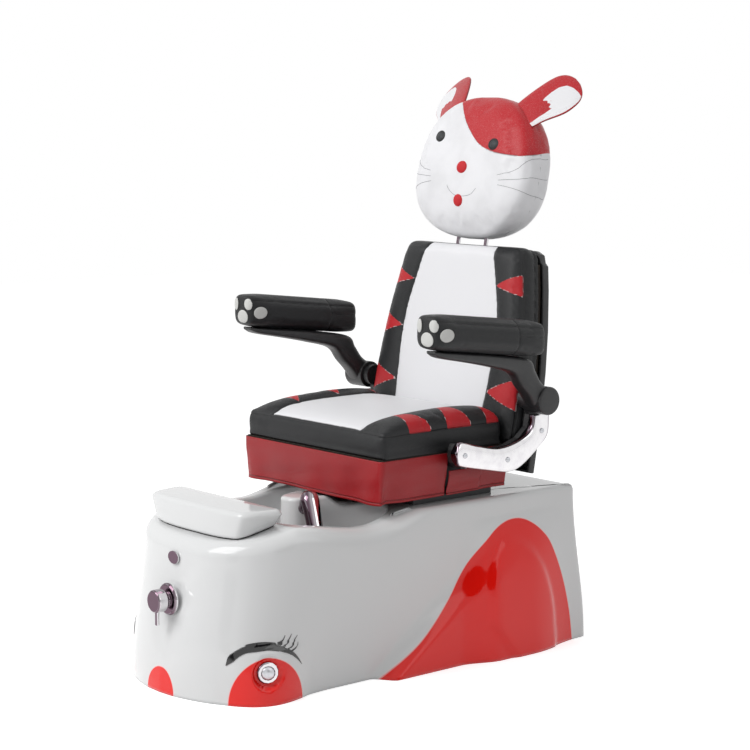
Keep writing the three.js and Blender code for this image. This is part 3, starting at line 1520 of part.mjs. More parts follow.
function headCushion() {
  const holes = [-1, 1].map((side) => rodY(
    postRadius + fitGap,
    postUpStart,
    headPostTop + fitGap,
    side * postSpacing / 2,
    headCentreOut,
    16,
  ));
  return onBack(cut(headBody(0), ...holes));
}
piece('head_cushion', headCushion(), whiteVinyl(), head);
const headPost = (side) => onBack(rodY(
  postRadius,
  postUpStart,
  headPostTop,
  side * postSpacing / 2,
  headCentreOut,
  16,
));
piece('head_post_left', headPost(1), chrome(), head);
piece('head_post_right', headPost(-1), chrome(), head);

const earSectionShares = [[-0.1, 0.86, 0.8], [0.15, 0.95, 1], [0.4, 1, 1], [0.62, 1, 0.95],
  [0.78, 0.93, 0.85], [0.89, 0.76, 0.7], [0.96, 0.5, 0.5], [1, 0.2, 0.22]];
function ear() {
  const run = earRun.clone().normalize();
  const across = new THREE.Vector3(0.9, -0.437, -0.027);
  across.addScaledVector(run, -across.dot(run)).normalize();
  const out = run.clone().cross(across);
  const spots = 12;
  const rings = earSectionShares.map(([along, width, thick]) => {
    const centre = new THREE.Vector3(earRootX, earRootUp, earRootOut).addScaledVector(run, along * earLength);
    return Array.from({ length: spots }, (_, spot) => {
      const angle = (spot / spots) * 2 * Math.PI;
      return centre.clone()
        .addScaledVector(across, Math.cos(angle) * earHalfWidth * width)
        .addScaledVector(out, Math.sin(angle) * earHalfThickness * thick);
    });
  });
  return onBack(cut(loft(rings), headBody(fitGap)));
}
piece('ear_left', ear(), redVinyl(), head);
piece('ear_right', mirrored(ear()), redVinyl(), head);

// Side brackets: a curved band that ties the seat to the back, a backing plate behind it
const bracketLowerShares = [[-0.95, -0.7], [-0.93, -0.79], [-0.87, -0.84], [-0.58, -0.94], [-0.33, -1.01],
  [-0.17, -0.96], [0.04, -0.73], [0.16, -0.54], [0.18, -0.24]];
const bracketUpperShares = [[-0.02, -0.24], [-0.06, -0.45], [-0.23, -0.59], [-0.44, -0.64], [-0.68, -0.57],
  [-0.87, -0.49], [-0.92, -0.52], [-0.945, -0.6]];

// A place on the bracket, from its shares of the reach and the rise
const bracketPlace = ([along, up]) => [hingeY + along * bracketReach, hingeHeight + up * bracketRise];

// The band's outline in Y and Z, moved inwards by an inset; its top can run on up to the hinge.
function bracketBand(inset, topRise) {
  const onSide = (shares) => new THREE.Vector2(...bracketPlace(shares));
  const lower = new THREE.SplineCurve(bracketLowerShares.map(onSide)).getPoints(11);
  const upper = new THREE.SplineCurve(bracketUpperShares.map(onSide)).getPoints(9);
  if (topRise > 0) {
    lower.push(lower.at(-1).clone().add(new THREE.Vector2(-topRise / 4, topRise)));
    upper.unshift(upper[0].clone().add(new THREE.Vector2(-topRise / 6, topRise)));
  }
  const ring = [...lower, ...upper];
  return ring.map((point, spot) => {
    const before = ring[(spot + ring.length - 1) % ring.length];
    const after = ring[(spot + 1) % ring.length];
    const run = after.clone().sub(before).normalize();
    return [point.x - run.y * inset, point.y + run.x * inset];
  });
}
const bracketOuterX = bracketInnerX + bracketThickness;
const boltShares = [[-0.859, -0.675], [-0.351, -0.821], [0.065, -0.47]];
const boltPlaces = boltShares.map(bracketPlace);
const boltBoreRadius = boltShankRadius + fitGap;
const boltBore = (fromX, toX) => boltPlaces.map(([y, z]) => rodX(boltBoreRadius, fromX, toX, y, z, 12));
function sideBracket() {
  const middle = bracketInnerX + bracketThickness / 2;
  const rear = sidePlate(bracketBand(0, 0), bracketInnerX, middle);
  const ridge = sidePlate(bracketBand(bracketBevel, 0), bracketInnerX, bracketOuterX);
  return cut(join(rear, ridge), ...boltBore(bracketInnerX - overrun, bracketOuterX + overrun));
}
function bracketBacking() {
  const outer = bracketInnerX - fitGap;
  const band = sidePlate(bracketBand(backingInset, 0.2 * bracketRise), backingInnerX, outer);
  const knuckle = rodX(knuckleRadius, backingInnerX, outer, hingeY, hingeHeight, 22);
  const pin = rodX(hingePinRadius, backingInnerX, barrelOuterX - barrelCap, hingeY, hingeHeight, 14);
  const lugY = skirtSplitY + 2 * skirtSplitGap + lugHalfLength;
  const seatLug = slab(
    [boardHalfWidth - wingInset + fitGap, lugY - lugHalfLength, frameTop - seatFrameWall],
    [outer, lugY + lugHalfLength, frameTop],
  );
  const boardEdge = backHalfAt(0.1) - backBoardInset;
  const lugHeight = backLugHalfHeight * 2;
  const lugThickness = backBoardThickness - wingInset;
  const backLug = new THREE.BoxGeometry(outer - boardEdge - fitGap, lugHeight, lugThickness)
    .translate((outer + boardEdge + fitGap) / 2, backLength * 0.1, boardOut - backBoardThickness / 2);
  const backPlate = new THREE.BoxGeometry(outer - backingInnerX, lugHeight, backBoardThickness * 4)
    .translate((outer + backingInnerX) / 2, backLength * 0.1, boardOut + backBoardThickness / 2);
  const bores = boltBore(bracketOuterX - boltDepth - boltEndGap, outer + overrun);
  return cut(join(band, knuckle, pin, seatLug, onBack(backLug), onBack(backPlate)), ...bores);
}
const bracketBolt = ([y, z]) => join(
  rodX(boltShankRadius, bracketOuterX - boltDepth, bracketOuterX + boltHeadHeight / 2, y, z, 8),
  rodX(boltHeadRadius, bracketOuterX + fitGap, bracketOuterX + fitGap + boltHeadHeight, y, z, 12),
);
piece('side_bracket_left', sideBracket(), chrome(), seat);
piece('side_bracket_right', mirrored(sideBracket()), chrome(), seat);
piece('bracket_backing_left', bracketBacking(), blackPlastic(), seat);
piece('bracket_backing_right', mirrored(bracketBacking()), blackPlastic(), seat);
boltPlaces.forEach((place, spot) => {
  piece(`bracket_bolt_left_${spot + 1}`, bracketBolt(place), zincSteel(), seat);
  piece(`bracket_bolt_right_${spot + 1}`, mirrored(bracketBolt(place)), zincSteel(), seat);
});

// Slide release: a bent bar on two lugs under the front of the seat
function slideRelease() {
  const front = releasePivotY - releaseReach;
  const pinReach = releaseHalfWidth + releaseBarRadius + 2 * runningGap + releaseLugThickness;
  const pins = [-1, 1].map((side) => rodX(
    releasePinRadius,
    side * (releaseHalfWidth + pinReach) / 2 - (pinReach - releaseHalfWidth) / 2,
    side * (releaseHalfWidth + pinReach) / 2 + (pinReach - releaseHalfWidth) / 2,
    releasePivotY,
    releasePivotHeight,
    10,
  ));
  const bar = tube([
    new THREE.Vector3(-releaseHalfWidth, releasePivotY + releaseBarRadius, releasePivotHeight),
    new THREE.Vector3(-releaseHalfWidth, mix(releasePivotY, front, 0.75), releasePivotHeight),
    new THREE.Vector3(-releaseHalfWidth * 0.85, front, releasePivotHeight),
    new THREE.Vector3(releaseHalfWidth * 0.85, front, releasePivotHeight),
    new THREE.Vector3(releaseHalfWidth, mix(releasePivotY, front, 0.75), releasePivotHeight),
    new THREE.Vector3(releaseHalfWidth, releasePivotY + releaseBarRadius, releasePivotHeight),
  ], releaseBarRadius, 4, 16);
  return join(bar, ...pins);
}
piece('slide_release', slideRelease(), blackPlastic());

// Arms: a bent frame that turns on the hinge pin, a padded rest on it, and a paw patch at its front
const padUnderside = (y) => armPadRearUnderside + (armPadRearY - y) * armPadSlope;
const armSectionShares = [
  { upY: 0.055, upZ: 0.0, lowY: 0.06, lowDrop: 0.29, width: 0.6 },
  { upY: 0.12, upZ: 0, lowY: 0.13, lowDrop: 0.54, width: 0.92 },
  { upY: 0.35, upZ: 0, lowY: 0.35, lowDrop: 0.75, width: 1 },
  { upY: 0.57, upZ: 0, lowY: 0.57, lowDrop: 1, width: 1 },
];
const armNeckShares = [
  { up: [-0.556, 0.97], low: [-1, 0.687], width: 1 },
  { up: [-0.333, 0.707], low: [-0.717, 0.364], width: 1 },
  { up: [-0.152, 0.444], low: [-0.475, 0.121], width: 1.05 },
  { up: [0.091, 0.263], low: [-0.273, -0.141], width: 1.12 },
];
function armFrame() {
  const spots = 12;
  const padLength = armPadRearY - armPadFrontY;
  const channel = armSectionShares.map(({ upY, lowY, lowDrop, width }) => {
    const y = armPadFrontY + upY * padLength;
    const low = armPadFrontY + lowY * padLength;
    const under = padUnderside(low) - fitGap - lowDrop * armFrameDepth;
    return { up: [y, padUnderside(y) - fitGap], low: [low, under], width };
  });
  const fromHinge = ([along, up]) => [hingeY + along * armNeckRise, hingeHeight + up * armNeckRise];
  const neck = armNeckShares.map(({ up, low, width }) => ({ up: fromHinge(up), low: fromHinge(low), width }));
  const sections = [...channel, ...neck];
  const rings = sections.map(({ up, low, width }, step) => {
    const hingeX = (bracketInnerX + barrelOuterX) / 2;
    const centreX = mix(armPadX, hingeX, smooth((step - 2) / (sections.length - 3)));
    const middle = [(up[0] + low[0]) / 2, (up[1] + low[1]) / 2];
    const reach = [(up[0] - low[0]) / 2, (up[1] - low[1]) / 2];
    return Array.from({ length: spots }, (_, spot) => {
      const angle = ((spot + 0.5) / spots) * 2 * Math.PI;
      const side = signedPower(Math.cos(angle), 0.6) * armFrameHalfWidth * width;
      const lift = signedPower(Math.sin(angle), 0.6);
      return new THREE.Vector3(centreX + side, middle[0] + reach[0] * lift, middle[1] + reach[1] * lift);
    });
  });
  const barrel = rodX(barrelRadius, bracketInnerX + barrelGap, barrelOuterX, hingeY, hingeHeight, 22);
  const boreEnd = barrelOuterX - barrelCap + fitGap;
  const bore = rodX(hingePinRadius + fitGap, bracketInnerX - overrun, boreEnd, hingeY, hingeHeight, 14);
  return cut(join(loft(rings), barrel), bore);
}
const padSectionShares = [[0, 0.55], [0.008, 0.76], [0.025, 0.91], [0.06, 0.985], [0.12, 1], [0.42, 1],
  [0.735, 1], [0.752, 0.965], [0.77, 1], [0.93, 1], [0.975, 0.97], [0.992, 0.88], [1, 0.7]];
function armPad(grown) {
  const spots = 14;
  const rings = padSectionShares.map(([along, fill], step) => {
    const y = mix(armPadFrontY - grown, armPadRearY + grown, along);
    const half = armPadHeight / 2;
    const ease = step < 3 ? mix(fill, 1, 0.35) : fill;
    return Array.from({ length: spots }, (_, spot) => {
      const angle = ((spot + 0.5) / spots) * 2 * Math.PI;
      return new THREE.Vector3(
        armPadX + signedPower(Math.cos(angle), 0.5) * (armPadHalfWidth * fill + grown),
        y,
        padUnderside(y) + half + signedPower(Math.sin(angle), 0.5) * (half * ease + grown),
      );
    });
  });
  return loft(rings);
}
const pawShares = [[0, -0.21, 0.43, 0.4], [-0.35, 0.45, 0.23, 0.32], [0.45, 0.48, 0.32, 0.29],
  [1.01, 0, 0.37, 0.32]];
const pawPads = pawShares.map((shares) => shares.map((share) => share * armPadHalfWidth));
function pawPatch() {
  const skin = cut(armPad(pawThickness), armPad(fitGap));
  const reach = armPadHalfWidth * 3;
  const cutters = pawPads.map(([across, up, halfAcross, halfUp]) => rod(1, reach, 8)
    .scale(halfAcross, 1, halfUp)
    .translate(across, -reach / 2, up));
  const webs = pawPads.slice(1).map(([across, up]) => new THREE.BoxGeometry(
    Math.hypot(across - pawPads[0][0], up - pawPads[0][1]),
    reach,
    pawWeb,
  ).rotateY(-Math.atan2(up - pawPads[0][1], across - pawPads[0][0]))
    .translate((across + pawPads[0][0]) / 2, -reach / 2, (up + pawPads[0][1]) / 2));
  const middle = padUnderside(armPadFrontY) + armPadHeight / 2;
  const mask = join(...cutters, ...webs)
    .rotateZ(pawTurn)
    .translate(armPadX + pawThickness, armPadFrontY + armPadHalfWidth * 0.7, middle);
  return common(skin, mask);
}
const arms = { left: new THREE.Group(), right: new THREE.Group() };
chair.add(arms.left, arms.right);
piece('arm_frame_left', armFrame(), blackPlastic(), arms.left);
piece('arm_frame_right', mirrored(armFrame()), blackPlastic(), arms.right);
piece('arm_pad_left', armPad(0), blackVinyl(), arms.left);
piece('arm_pad_right', mirrored(armPad(0)), blackVinyl(), arms.right);
piece('paw_patch_left', pawPatch(), whiteVinyl(), arms.left);
piece('paw_patch_right', pawPatch().translate(-2 * armPadX, 0, 0), whiteVinyl(), arms.right);

// The chair stands centred over its own footprint.
const whole = new THREE.Box3().setFromObject(chair);
chair.position.set(0, -(whole.min.y + whole.max.y) / 2, -whole.min.z);
chair.updateMatrixWorld(true);

export default chair;
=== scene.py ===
# %% [markdown]
# # A kids spa chair
# A moulded foot bath carries an upholstered seat with lift-up arms and a plush animal head.
# The fixed frame holds every real size and joint. This script dresses it: smooth skins for the
# moulded and padded pieces, fine metalwork, and a material for everything.

# %% The fixed frame and the tools
import json
import math

import bmesh
import bpy
import numpy as np
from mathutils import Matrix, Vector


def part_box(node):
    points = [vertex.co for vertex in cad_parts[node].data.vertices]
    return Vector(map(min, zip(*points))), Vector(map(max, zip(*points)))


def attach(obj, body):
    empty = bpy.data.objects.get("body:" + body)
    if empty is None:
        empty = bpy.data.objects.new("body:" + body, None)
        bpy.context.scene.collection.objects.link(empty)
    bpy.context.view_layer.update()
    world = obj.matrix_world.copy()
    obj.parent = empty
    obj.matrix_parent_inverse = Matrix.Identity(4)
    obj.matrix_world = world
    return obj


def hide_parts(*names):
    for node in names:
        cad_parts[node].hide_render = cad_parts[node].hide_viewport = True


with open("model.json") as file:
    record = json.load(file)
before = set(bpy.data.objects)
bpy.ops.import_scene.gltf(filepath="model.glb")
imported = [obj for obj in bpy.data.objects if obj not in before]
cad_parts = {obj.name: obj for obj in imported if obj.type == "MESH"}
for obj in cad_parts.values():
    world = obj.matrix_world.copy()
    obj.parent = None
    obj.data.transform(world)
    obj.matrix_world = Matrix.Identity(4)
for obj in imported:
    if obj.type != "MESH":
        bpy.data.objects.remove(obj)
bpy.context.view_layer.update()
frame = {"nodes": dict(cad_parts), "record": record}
foot_low, foot_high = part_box("levelling_foot_front_left")
DRAWN_FOOT_Y = -0.3175
SHIFT_Y = (foot_low.y + foot_high.y) / 2 - DRAWN_FOOT_Y
print("frame loaded:", len(frame["nodes"]), "pieces, shift", round(SHIFT_Y, 5))

# %% [markdown]
# Every shape below is worked out as whole arrays in drawing metres: X to the sitter's left, Y to the
# rear, Z up. A few small helpers keep that readable: an easy step, a blend, and a smooth line
# through measured stops.


# %% Number helpers
def smooth(share):
    """An easy step: 0 below 0, 1 above 1, and 3t^2 - 2t^3 between."""
    t = np.clip(share, 0.0, 1.0)
    return t * t * (3 - 2 * t)


def mix(start, end, share):
    """A straight blend from start to end."""
    return start + (end - start) * share


def power(value, exponent):
    """The size of value raised to a power, with value's sign kept. It squares off circles."""
    return np.sign(value) * np.abs(value) ** exponent


def through(stops, count):
    """Points on a smooth line through stops, evenly spaced along its length.
    Between two stops the line is the cubic whose slopes are half the step between the neighbours."""
    stops = np.asarray(stops, float)
    ends = np.concatenate([2 * stops[:1] - stops[1:2], stops, 2 * stops[-1:] - stops[-2:-1]])
    fine = np.linspace(0, len(stops) - 1, 24 * len(stops))
    index = np.minimum(fine.astype(int), len(stops) - 2)
    t = (fine - index)[:, None]
    a, b, c, d = (ends[index + step] for step in range(4))
    line = 0.5 * (2 * b + (c - a) * t + (2 * a - 5 * b + 4 * c - d) * t**2 + (3 * b - a - 3 * c + d) * t**3)
    return evenly(line, count)


def evenly(line, count):
    """The same line read again at count places that are equally far apart along it."""
    run = np.concatenate([[0], np.cumsum(np.linalg.norm(np.diff(line, axis=0), axis=1))])
    places = np.linspace(0, run[-1], count)
    return np.stack([np.interp(places, run, line[:, axis]) for axis in range(line.shape[1])], axis=1)


def unit(vectors):
    """Each vector divided by its own length."""
    return vectors / np.maximum(np.linalg.norm(vectors, axis=-1, keepdims=True), 1e-12)


def inside(points, outline):
    """Signed distance from 2-D points to a closed outline: above 0 inside it and below 0 outside.
    The size is the least distance to any side, and the sign comes from counting crossings."""
    shape = points.shape[:-1]
    flat = points.reshape(-1, 2)
    best = np.full(len(flat), 1e9)
    odd = np.zeros(len(flat), bool)
    for start, end in zip(outline, np.roll(outline, -1, axis=0)):
        side = end - start
        along = np.clip((flat - start) @ side / max(side @ side, 1e-12), 0, 1)
        best = np.minimum(best, np.linalg.norm(flat - start - along[:, None] * side, axis=1))
        crosses = (start[1] > flat[:, 1]) != (end[1] > flat[:, 1])
        rise = np.where(abs(end[1] - start[1]) < 1e-12, 1e-12, end[1] - start[1])
        odd ^= crosses & (flat[:, 0] < start[0] + (flat[:, 1] - start[1]) * side[0] / rise)
    return (best * np.where(odd, 1, -1)).reshape(shape)


# %% [markdown]
# A new piece is a grid of points with faces between neighbours. The grid can close on itself like a
# sleeve, and its two ends can be closed, so that a vase, a tube and a cushion all come from one helper.


# %% Mesh helpers
def grid_faces(rows, columns, around):
    """Corner numbers of the squares of a grid, row by row. Around joins the last column to the first."""
    row = np.arange(rows - 1)[:, None]
    column = np.arange(columns if around else columns - 1)[None, :]
    beside = (column + 1) % columns
    squares = [row * columns + column, row * columns + beside, (row + 1) * columns + beside,
               (row + 1) * columns + column]
    return np.stack(squares, axis=-1).reshape(-1, 4)


def skin(name, grid, around=False, start=False, end=False, marks=None, lift=True):
    """One mesh from a grid of points. Start and end close the first and last row of a sleeve.
    Marks are named numbers for every point, which materials read as attributes."""
    grid = np.asarray(grid, float)
    rows, columns = grid.shape[:2]
    points = grid.reshape(-1, 3).copy()
    if lift:
        points[:, 1] += SHIFT_Y
    faces = grid_faces(rows, columns, around).tolist()
    if start:
        faces.append(list(range(columns))[::-1])
    if end:
        faces.append(list(range((rows - 1) * columns, rows * columns)))
    mesh = bpy.data.meshes.new(name)
    mesh.from_pydata(points.tolist(), [], faces)
    for mark, values in (marks or {}).items():
        attribute = mesh.attributes.new(mark, "FLOAT", "POINT")
        attribute.data.foreach_set("value", np.asarray(values, np.float32).reshape(-1))
    return finish_mesh(name, mesh)


def finish_mesh(name, mesh):
    """Merges doubled points, turns the faces outwards, shades them smooth and makes the object."""
    work = bmesh.new()
    work.from_mesh(mesh)
    bmesh.ops.remove_doubles(work, verts=work.verts, dist=1e-6)
    bmesh.ops.recalc_face_normals(work, faces=work.faces)
    work.to_mesh(mesh)
    work.free()
    mesh.shade_smooth()
    piece = bpy.data.objects.new(name, mesh)
    bpy.context.scene.collection.objects.link(piece)
    return piece


def joined(name, pieces):
    """Several meshes as one piece, with their attributes kept."""
    bpy.ops.object.select_all(action="DESELECT")
    for part in pieces:
        part.select_set(True)
    bpy.context.view_layer.objects.active = pieces[0]
    bpy.ops.object.join()
    pieces[0].name = name
    pieces[0].data.name = name
    return pieces[0]


def thicken(piece, depth, inwards=-1.0):
    """Gives a skin its wall."""
    wall = piece.modifiers.new("wall", "SOLIDIFY")
    wall.thickness = depth
    wall.offset = inwards
    return piece


def settle(piece, body, slot, *nodes):
    """A finished piece rides on its body and stands for its nodes of the frame, which it hides. The slot is
    not used.
    """
    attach(piece, body)
    if nodes:
        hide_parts(*nodes)
    return piece


def sweep(name, line, sections, up=(0.0, 0.0, 1.0), **closing):
    """A skin carried along a line. Each section is a ring of (across, up) offsets in metres.
    At each stop, across is square to the line and to up, and the ring's up is square to both."""
    line = np.asarray(line, float)
    run = unit(np.gradient(line, axis=0))
    across = unit(np.cross(run, np.asarray(up, float)))
    rise = np.cross(across, run)
    grid = line[:, None] + sections[..., :1] * across[:, None] + sections[..., 1:2] * rise[:, None]
    return skin(name, grid, around=True, **closing)


def ring(count, squareness=1.0):
    """A closed unit ring of (across, up) pairs. Squareness below 1 pushes a circle towards a box."""
    turn = (np.arange(count) + 0.5) / count * 2 * np.pi
    return np.stack([power(np.cos(turn), squareness), power(np.sin(turn), squareness)], axis=1)


def lathe(name, profile, axis=(0, 0, 1), place=(0, 0, 0), count=64, soft=0.0006):
    """A turned piece: a profile of (radius, along) pairs carried round an axis.
    Each corner of the profile is rounded by sliding in from it by at most soft on both sides."""
    profile = np.asarray(profile, float)
    rounded = [profile[0]]
    for before, corner, after in zip(profile[:-2], profile[1:-1], profile[2:]):
        back, on = before - corner, after - corner
        reach = min(soft, np.linalg.norm(back) / 2.2, np.linalg.norm(on) / 2.2)
        first, last = corner + unit(back) * reach, corner + unit(on) * reach
        share = np.linspace(0, 1, 5)[:, None]
        rounded.extend((1 - share) ** 2 * first + 2 * share * (1 - share) * corner + share**2 * last)
    rounded.append(profile[-1])
    rounded = np.array(rounded)
    axis = unit(np.asarray(axis, float))
    side = unit(np.cross(axis, (0.0, 0.0, 1.0) if abs(axis[2]) < 0.9 else (1.0, 0.0, 0.0)))
    other = np.cross(axis, side)
    turn = np.arange(count) / count * 2 * np.pi
    wheel = np.cos(turn)[:, None] * side + np.sin(turn)[:, None] * other
    grid = np.asarray(place, float) + rounded[:, None, :1] * wheel + rounded[:, None, 1:] * axis
    return skin(name, grid, around=True)


# %% [markdown]
# ## Materials
# Three effects come back in most finishes: fine leather-like grain, small sparkling flecks, and soft
# smudges that change the gloss. Each is a node group with named sockets, built once and used with
# different values. The groups only give out masks and heights, and the shader stays in the material.


# %% Shared effects
def new_group(name, inputs, outputs):
    """An empty node group with named float sockets."""
    group = bpy.data.node_groups.new(name, "ShaderNodeTree")
    for socket, value in inputs:
        made = group.interface.new_socket(socket, in_out="INPUT", socket_type="NodeSocketFloat")
        made.default_value = value
    for socket in outputs:
        group.interface.new_socket(socket, in_out="OUTPUT", socket_type="NodeSocketFloat")
    return group, group.nodes.new("NodeGroupInput"), group.nodes.new("NodeGroupOutput")


def add(tree, kind, **settings):
    """One node with its settings, and with values on its named inputs."""
    node = tree.nodes.new(kind)
    for key, value in settings.items():
        if key in node.inputs:
            node.inputs[key].default_value = value
        else:
            setattr(node, key, value)
    return node


def math_node(tree, operation, first, second=None):
    """One Math node. Each side is a socket or a number."""
    node = add(tree, "ShaderNodeMath", operation=operation)
    for slot_number, value in enumerate((first, second)):
        if value is None:
            continue
        if isinstance(value, (int, float)):
            node.inputs[slot_number].default_value = value
        else:
            tree.links.new(value, node.inputs[slot_number])
    return node.outputs[0]


def noise(tree, vector, scale, detail=2.0, rough=0.5):
    """Cloudy noise from 0 to 1 over the given coordinates."""
    node = add(tree, "ShaderNodeTexNoise", Scale=scale, Detail=detail, Roughness=rough)
    tree.links.new(vector, node.inputs["Vector"])
    return node.outputs["Fac"]


def build_grain():
    """Leather-like grain: the borders of small cells, with a finer cloud over them."""
    group, given, out = new_group("hide grain", [("Cell size mm", 1.1), ("Depth", 1.0)], ["Height"])
    place = add(group, "ShaderNodeTexCoord").outputs["Object"]
    scale = math_node(group, "DIVIDE", 1000.0, given.outputs["Cell size mm"])
    cells = add(group, "ShaderNodeTexVoronoi", feature="DISTANCE_TO_EDGE")
    group.links.new(place, cells.inputs["Vector"])
    group.links.new(scale, cells.inputs["Scale"])
    creased = math_node(group, "MINIMUM", math_node(group, "MULTIPLY", cells.outputs["Distance"], 5.0), 1.0)
    cloud = noise(group, place, 2400.0, 2.0)
    mixed = math_node(group, "ADD", creased, math_node(group, "MULTIPLY", cloud, 0.35))
    group.links.new(math_node(group, "MULTIPLY", mixed, given.outputs["Depth"]), out.inputs["Height"])
    return group


def build_sparkle():
    """Flecks: each small cell gets its own brightness, and only the brightest few are kept."""
    group, given, out = new_group("flecks", [("Fleck size mm", 0.8), ("Share", 0.12)], ["Mask"])
    place = add(group, "ShaderNodeTexCoord").outputs["Object"]
    scale = math_node(group, "DIVIDE", 1000.0, given.outputs["Fleck size mm"])
    cells = add(group, "ShaderNodeTexVoronoi", feature="F1")
    group.links.new(place, cells.inputs["Vector"])
    group.links.new(scale, cells.inputs["Scale"])
    split = add(group, "ShaderNodeSeparateColor")
    group.links.new(cells.outputs["Color"], split.inputs[0])
    limit = math_node(group, "SUBTRACT", 1.0, given.outputs["Share"])
    group.links.new(math_node(group, "GREATER_THAN", split.outputs[0], limit), out.inputs["Mask"])
    return group


def build_smudge():
    """Soft uneven gloss, from large clouds with fine streaks in them."""
    group, given, out = new_group("smudges", [("Size m", 0.12), ("Low", 0.2), ("High", 0.3)], ["Value"])
    place = add(group, "ShaderNodeTexCoord").outputs["Object"]
    scale = math_node(group, "DIVIDE", 1.0, given.outputs["Size m"])
    cloud = add(group, "ShaderNodeTexNoise", Detail=4.0, Roughness=0.6)
    group.links.new(place, cloud.inputs["Vector"])
    group.links.new(scale, cloud.inputs["Scale"])
    spread = math_node(group, "SUBTRACT", given.outputs["High"], given.outputs["Low"])
    value = math_node(group, "ADD", math_node(group, "MULTIPLY", cloud.outputs["Fac"], spread),
                      given.outputs["Low"])
    group.links.new(value, out.inputs["Value"])
    return group


GRAIN, SPARKLE, SMUDGE = build_grain(), build_sparkle(), build_smudge()
print("shared effects:", GRAIN.name, SPARKLE.name, SMUDGE.name)

# %% [markdown]
# A material starts from one helper that makes the shader, gives it uneven gloss and a bump, and hands
# back the parts, so that each finish only adds what is its own.


# %% Material helpers
class Finish:
    """A material under construction, with short words for the nodes that most finishes need."""

    def __init__(self, name, color, low=0.3, high=0.4, patch=0.12, metal=0.0, coat=0.0, specular=0.5):
        self.material = bpy.data.materials.new(name)
        self.material.use_nodes = True
        self.tree = self.material.node_tree
        self.shader = next(node for node in self.tree.nodes if node.type == "BSDF_PRINCIPLED")
        self.shader.inputs["Base Color"].default_value = (*color, 1)
        self.shader.inputs["Metallic"].default_value = metal
        self.shader.inputs["Coat Weight"].default_value = coat
        self.shader.inputs["Coat Roughness"].default_value = 0.04
        self.shader.inputs["Specular IOR Level"].default_value = specular
        self.place = add(self.tree, "ShaderNodeTexCoord").outputs["Object"]
        self.color = None
        self.height = None
        uneven = self.group(SMUDGE, **{"Size m": patch, "Low": low, "High": high})
        self.rough = uneven.outputs["Value"]
        self.base = color

    def group(self, tree, **values):
        node = self.tree.nodes.new("ShaderNodeGroup")
        node.node_tree = tree
        for key, value in values.items():
            node.inputs[key].default_value = value
        return node

    def attribute(self, name):
        return add(self.tree, "ShaderNodeAttribute", attribute_name=name).outputs["Fac"]

    def band(self, value, low, high):
        """0 below low and 1 above high, with an easy step between."""
        node = add(self.tree, "ShaderNodeMapRange", interpolation_type="SMOOTHSTEP")
        self.tree.links.new(value, node.inputs["Value"])
        node.inputs["From Min"].default_value, node.inputs["From Max"].default_value = low, high
        return node.outputs["Result"]

    def math(self, operation, first, second=None):
        return math_node(self.tree, operation, first, second)

    def paint(self, mask, color):
        """Lays a colour over what is there, where the mask is 1."""
        node = add(self.tree, "ShaderNodeMix", data_type="RGBA")
        self.tree.links.new(mask, node.inputs["Factor"])
        if self.color is None:
            node.inputs["A"].default_value = (*self.base, 1)
        else:
            self.tree.links.new(self.color, node.inputs["A"])
        node.inputs["B"].default_value = (*color, 1)
        self.color = node.outputs["Result"]
        return self

    def cloud(self, scale, color, amount=0.5, detail=3.0):
        """Drifts the colour towards another in soft patches."""
        patches = self.band(noise(self.tree, self.place, scale, detail), 0.35, 0.75)
        return self.paint(self.math("MULTIPLY", patches, amount), color)

    def raise_by(self, value, amount):
        """Adds a mask times an amount in metres to the bump's height."""
        part = self.math("MULTIPLY", value, amount)
        self.height = part if self.height is None else self.math("ADD", self.height, part)
        return self

    def done(self, strength=1.0):
        """Joins colour, gloss and bump to the shader."""
        link = self.tree.links.new
        if self.color is not None:
            link(self.color, self.shader.inputs["Base Color"])
        link(self.rough, self.shader.inputs["Roughness"])
        if self.height is not None:
            bump = add(self.tree, "ShaderNodeBump", Strength=strength, Distance=1.0)
            link(self.height, bump.inputs["Height"])
            link(bump.outputs["Normal"], self.shader.inputs["Normal"])
        return self.material


def wear(piece, material):
    """Gives a piece one material."""
    piece.data.materials.clear()
    piece.data.materials.append(material)
    return piece


# %% [markdown]
# The tub is gelcoat: hard, white and very glossy, with a faint orange peel. Red paint lies
# under the same clear coat, so one material reads the signed distance that the tub's mesh carries.

# %% Gelcoat, plain and painted
WHITE, RED = (0.70, 0.705, 0.707), (0.82, 0.008, 0.004)


def gelcoat(name, painted):
    made = Finish(name, WHITE, 0.07, 0.16, 0.2, coat=0.2, specular=0.3)
    made.cloud(3.0, (0.67, 0.675, 0.68), 0.5)
    if painted:
        red = made.band(made.attribute("red"), -0.0004, 0.0004)
        made.paint(red, RED)
        from_edge = made.math("ABSOLUTE", made.attribute("red"))
        rim = made.math("SUBTRACT", 1.0, made.band(from_edge, 0.0006, 0.0016))
        made.paint(made.math("MULTIPLY", rim, 0.55), (0.9, 0.6, 0.58))
        made.raise_by(red, 0.00012)
    made.raise_by(noise(made.tree, made.place, 90.0, 2.0), 0.00003)
    return made.done()


tub_finish = gelcoat("painted gelcoat", True)
plain_gelcoat = gelcoat("white gelcoat", False)

# %% [markdown]
# Metals come next: bright plating, zinc, and a dark powder coat. The plating carries painted shade and
# painted reflections: it stays bright where it faces the lit side, is painted dark and a little purple where
# it faces away, and has darker painted reflection bands, as a mirror in a dim room would look.
# Then the plastics, rubber and wood.

# %% Metals, plastics, rubber and wood
CHROME_LIT_SIDE = (0.65, 0.76, 0.0)


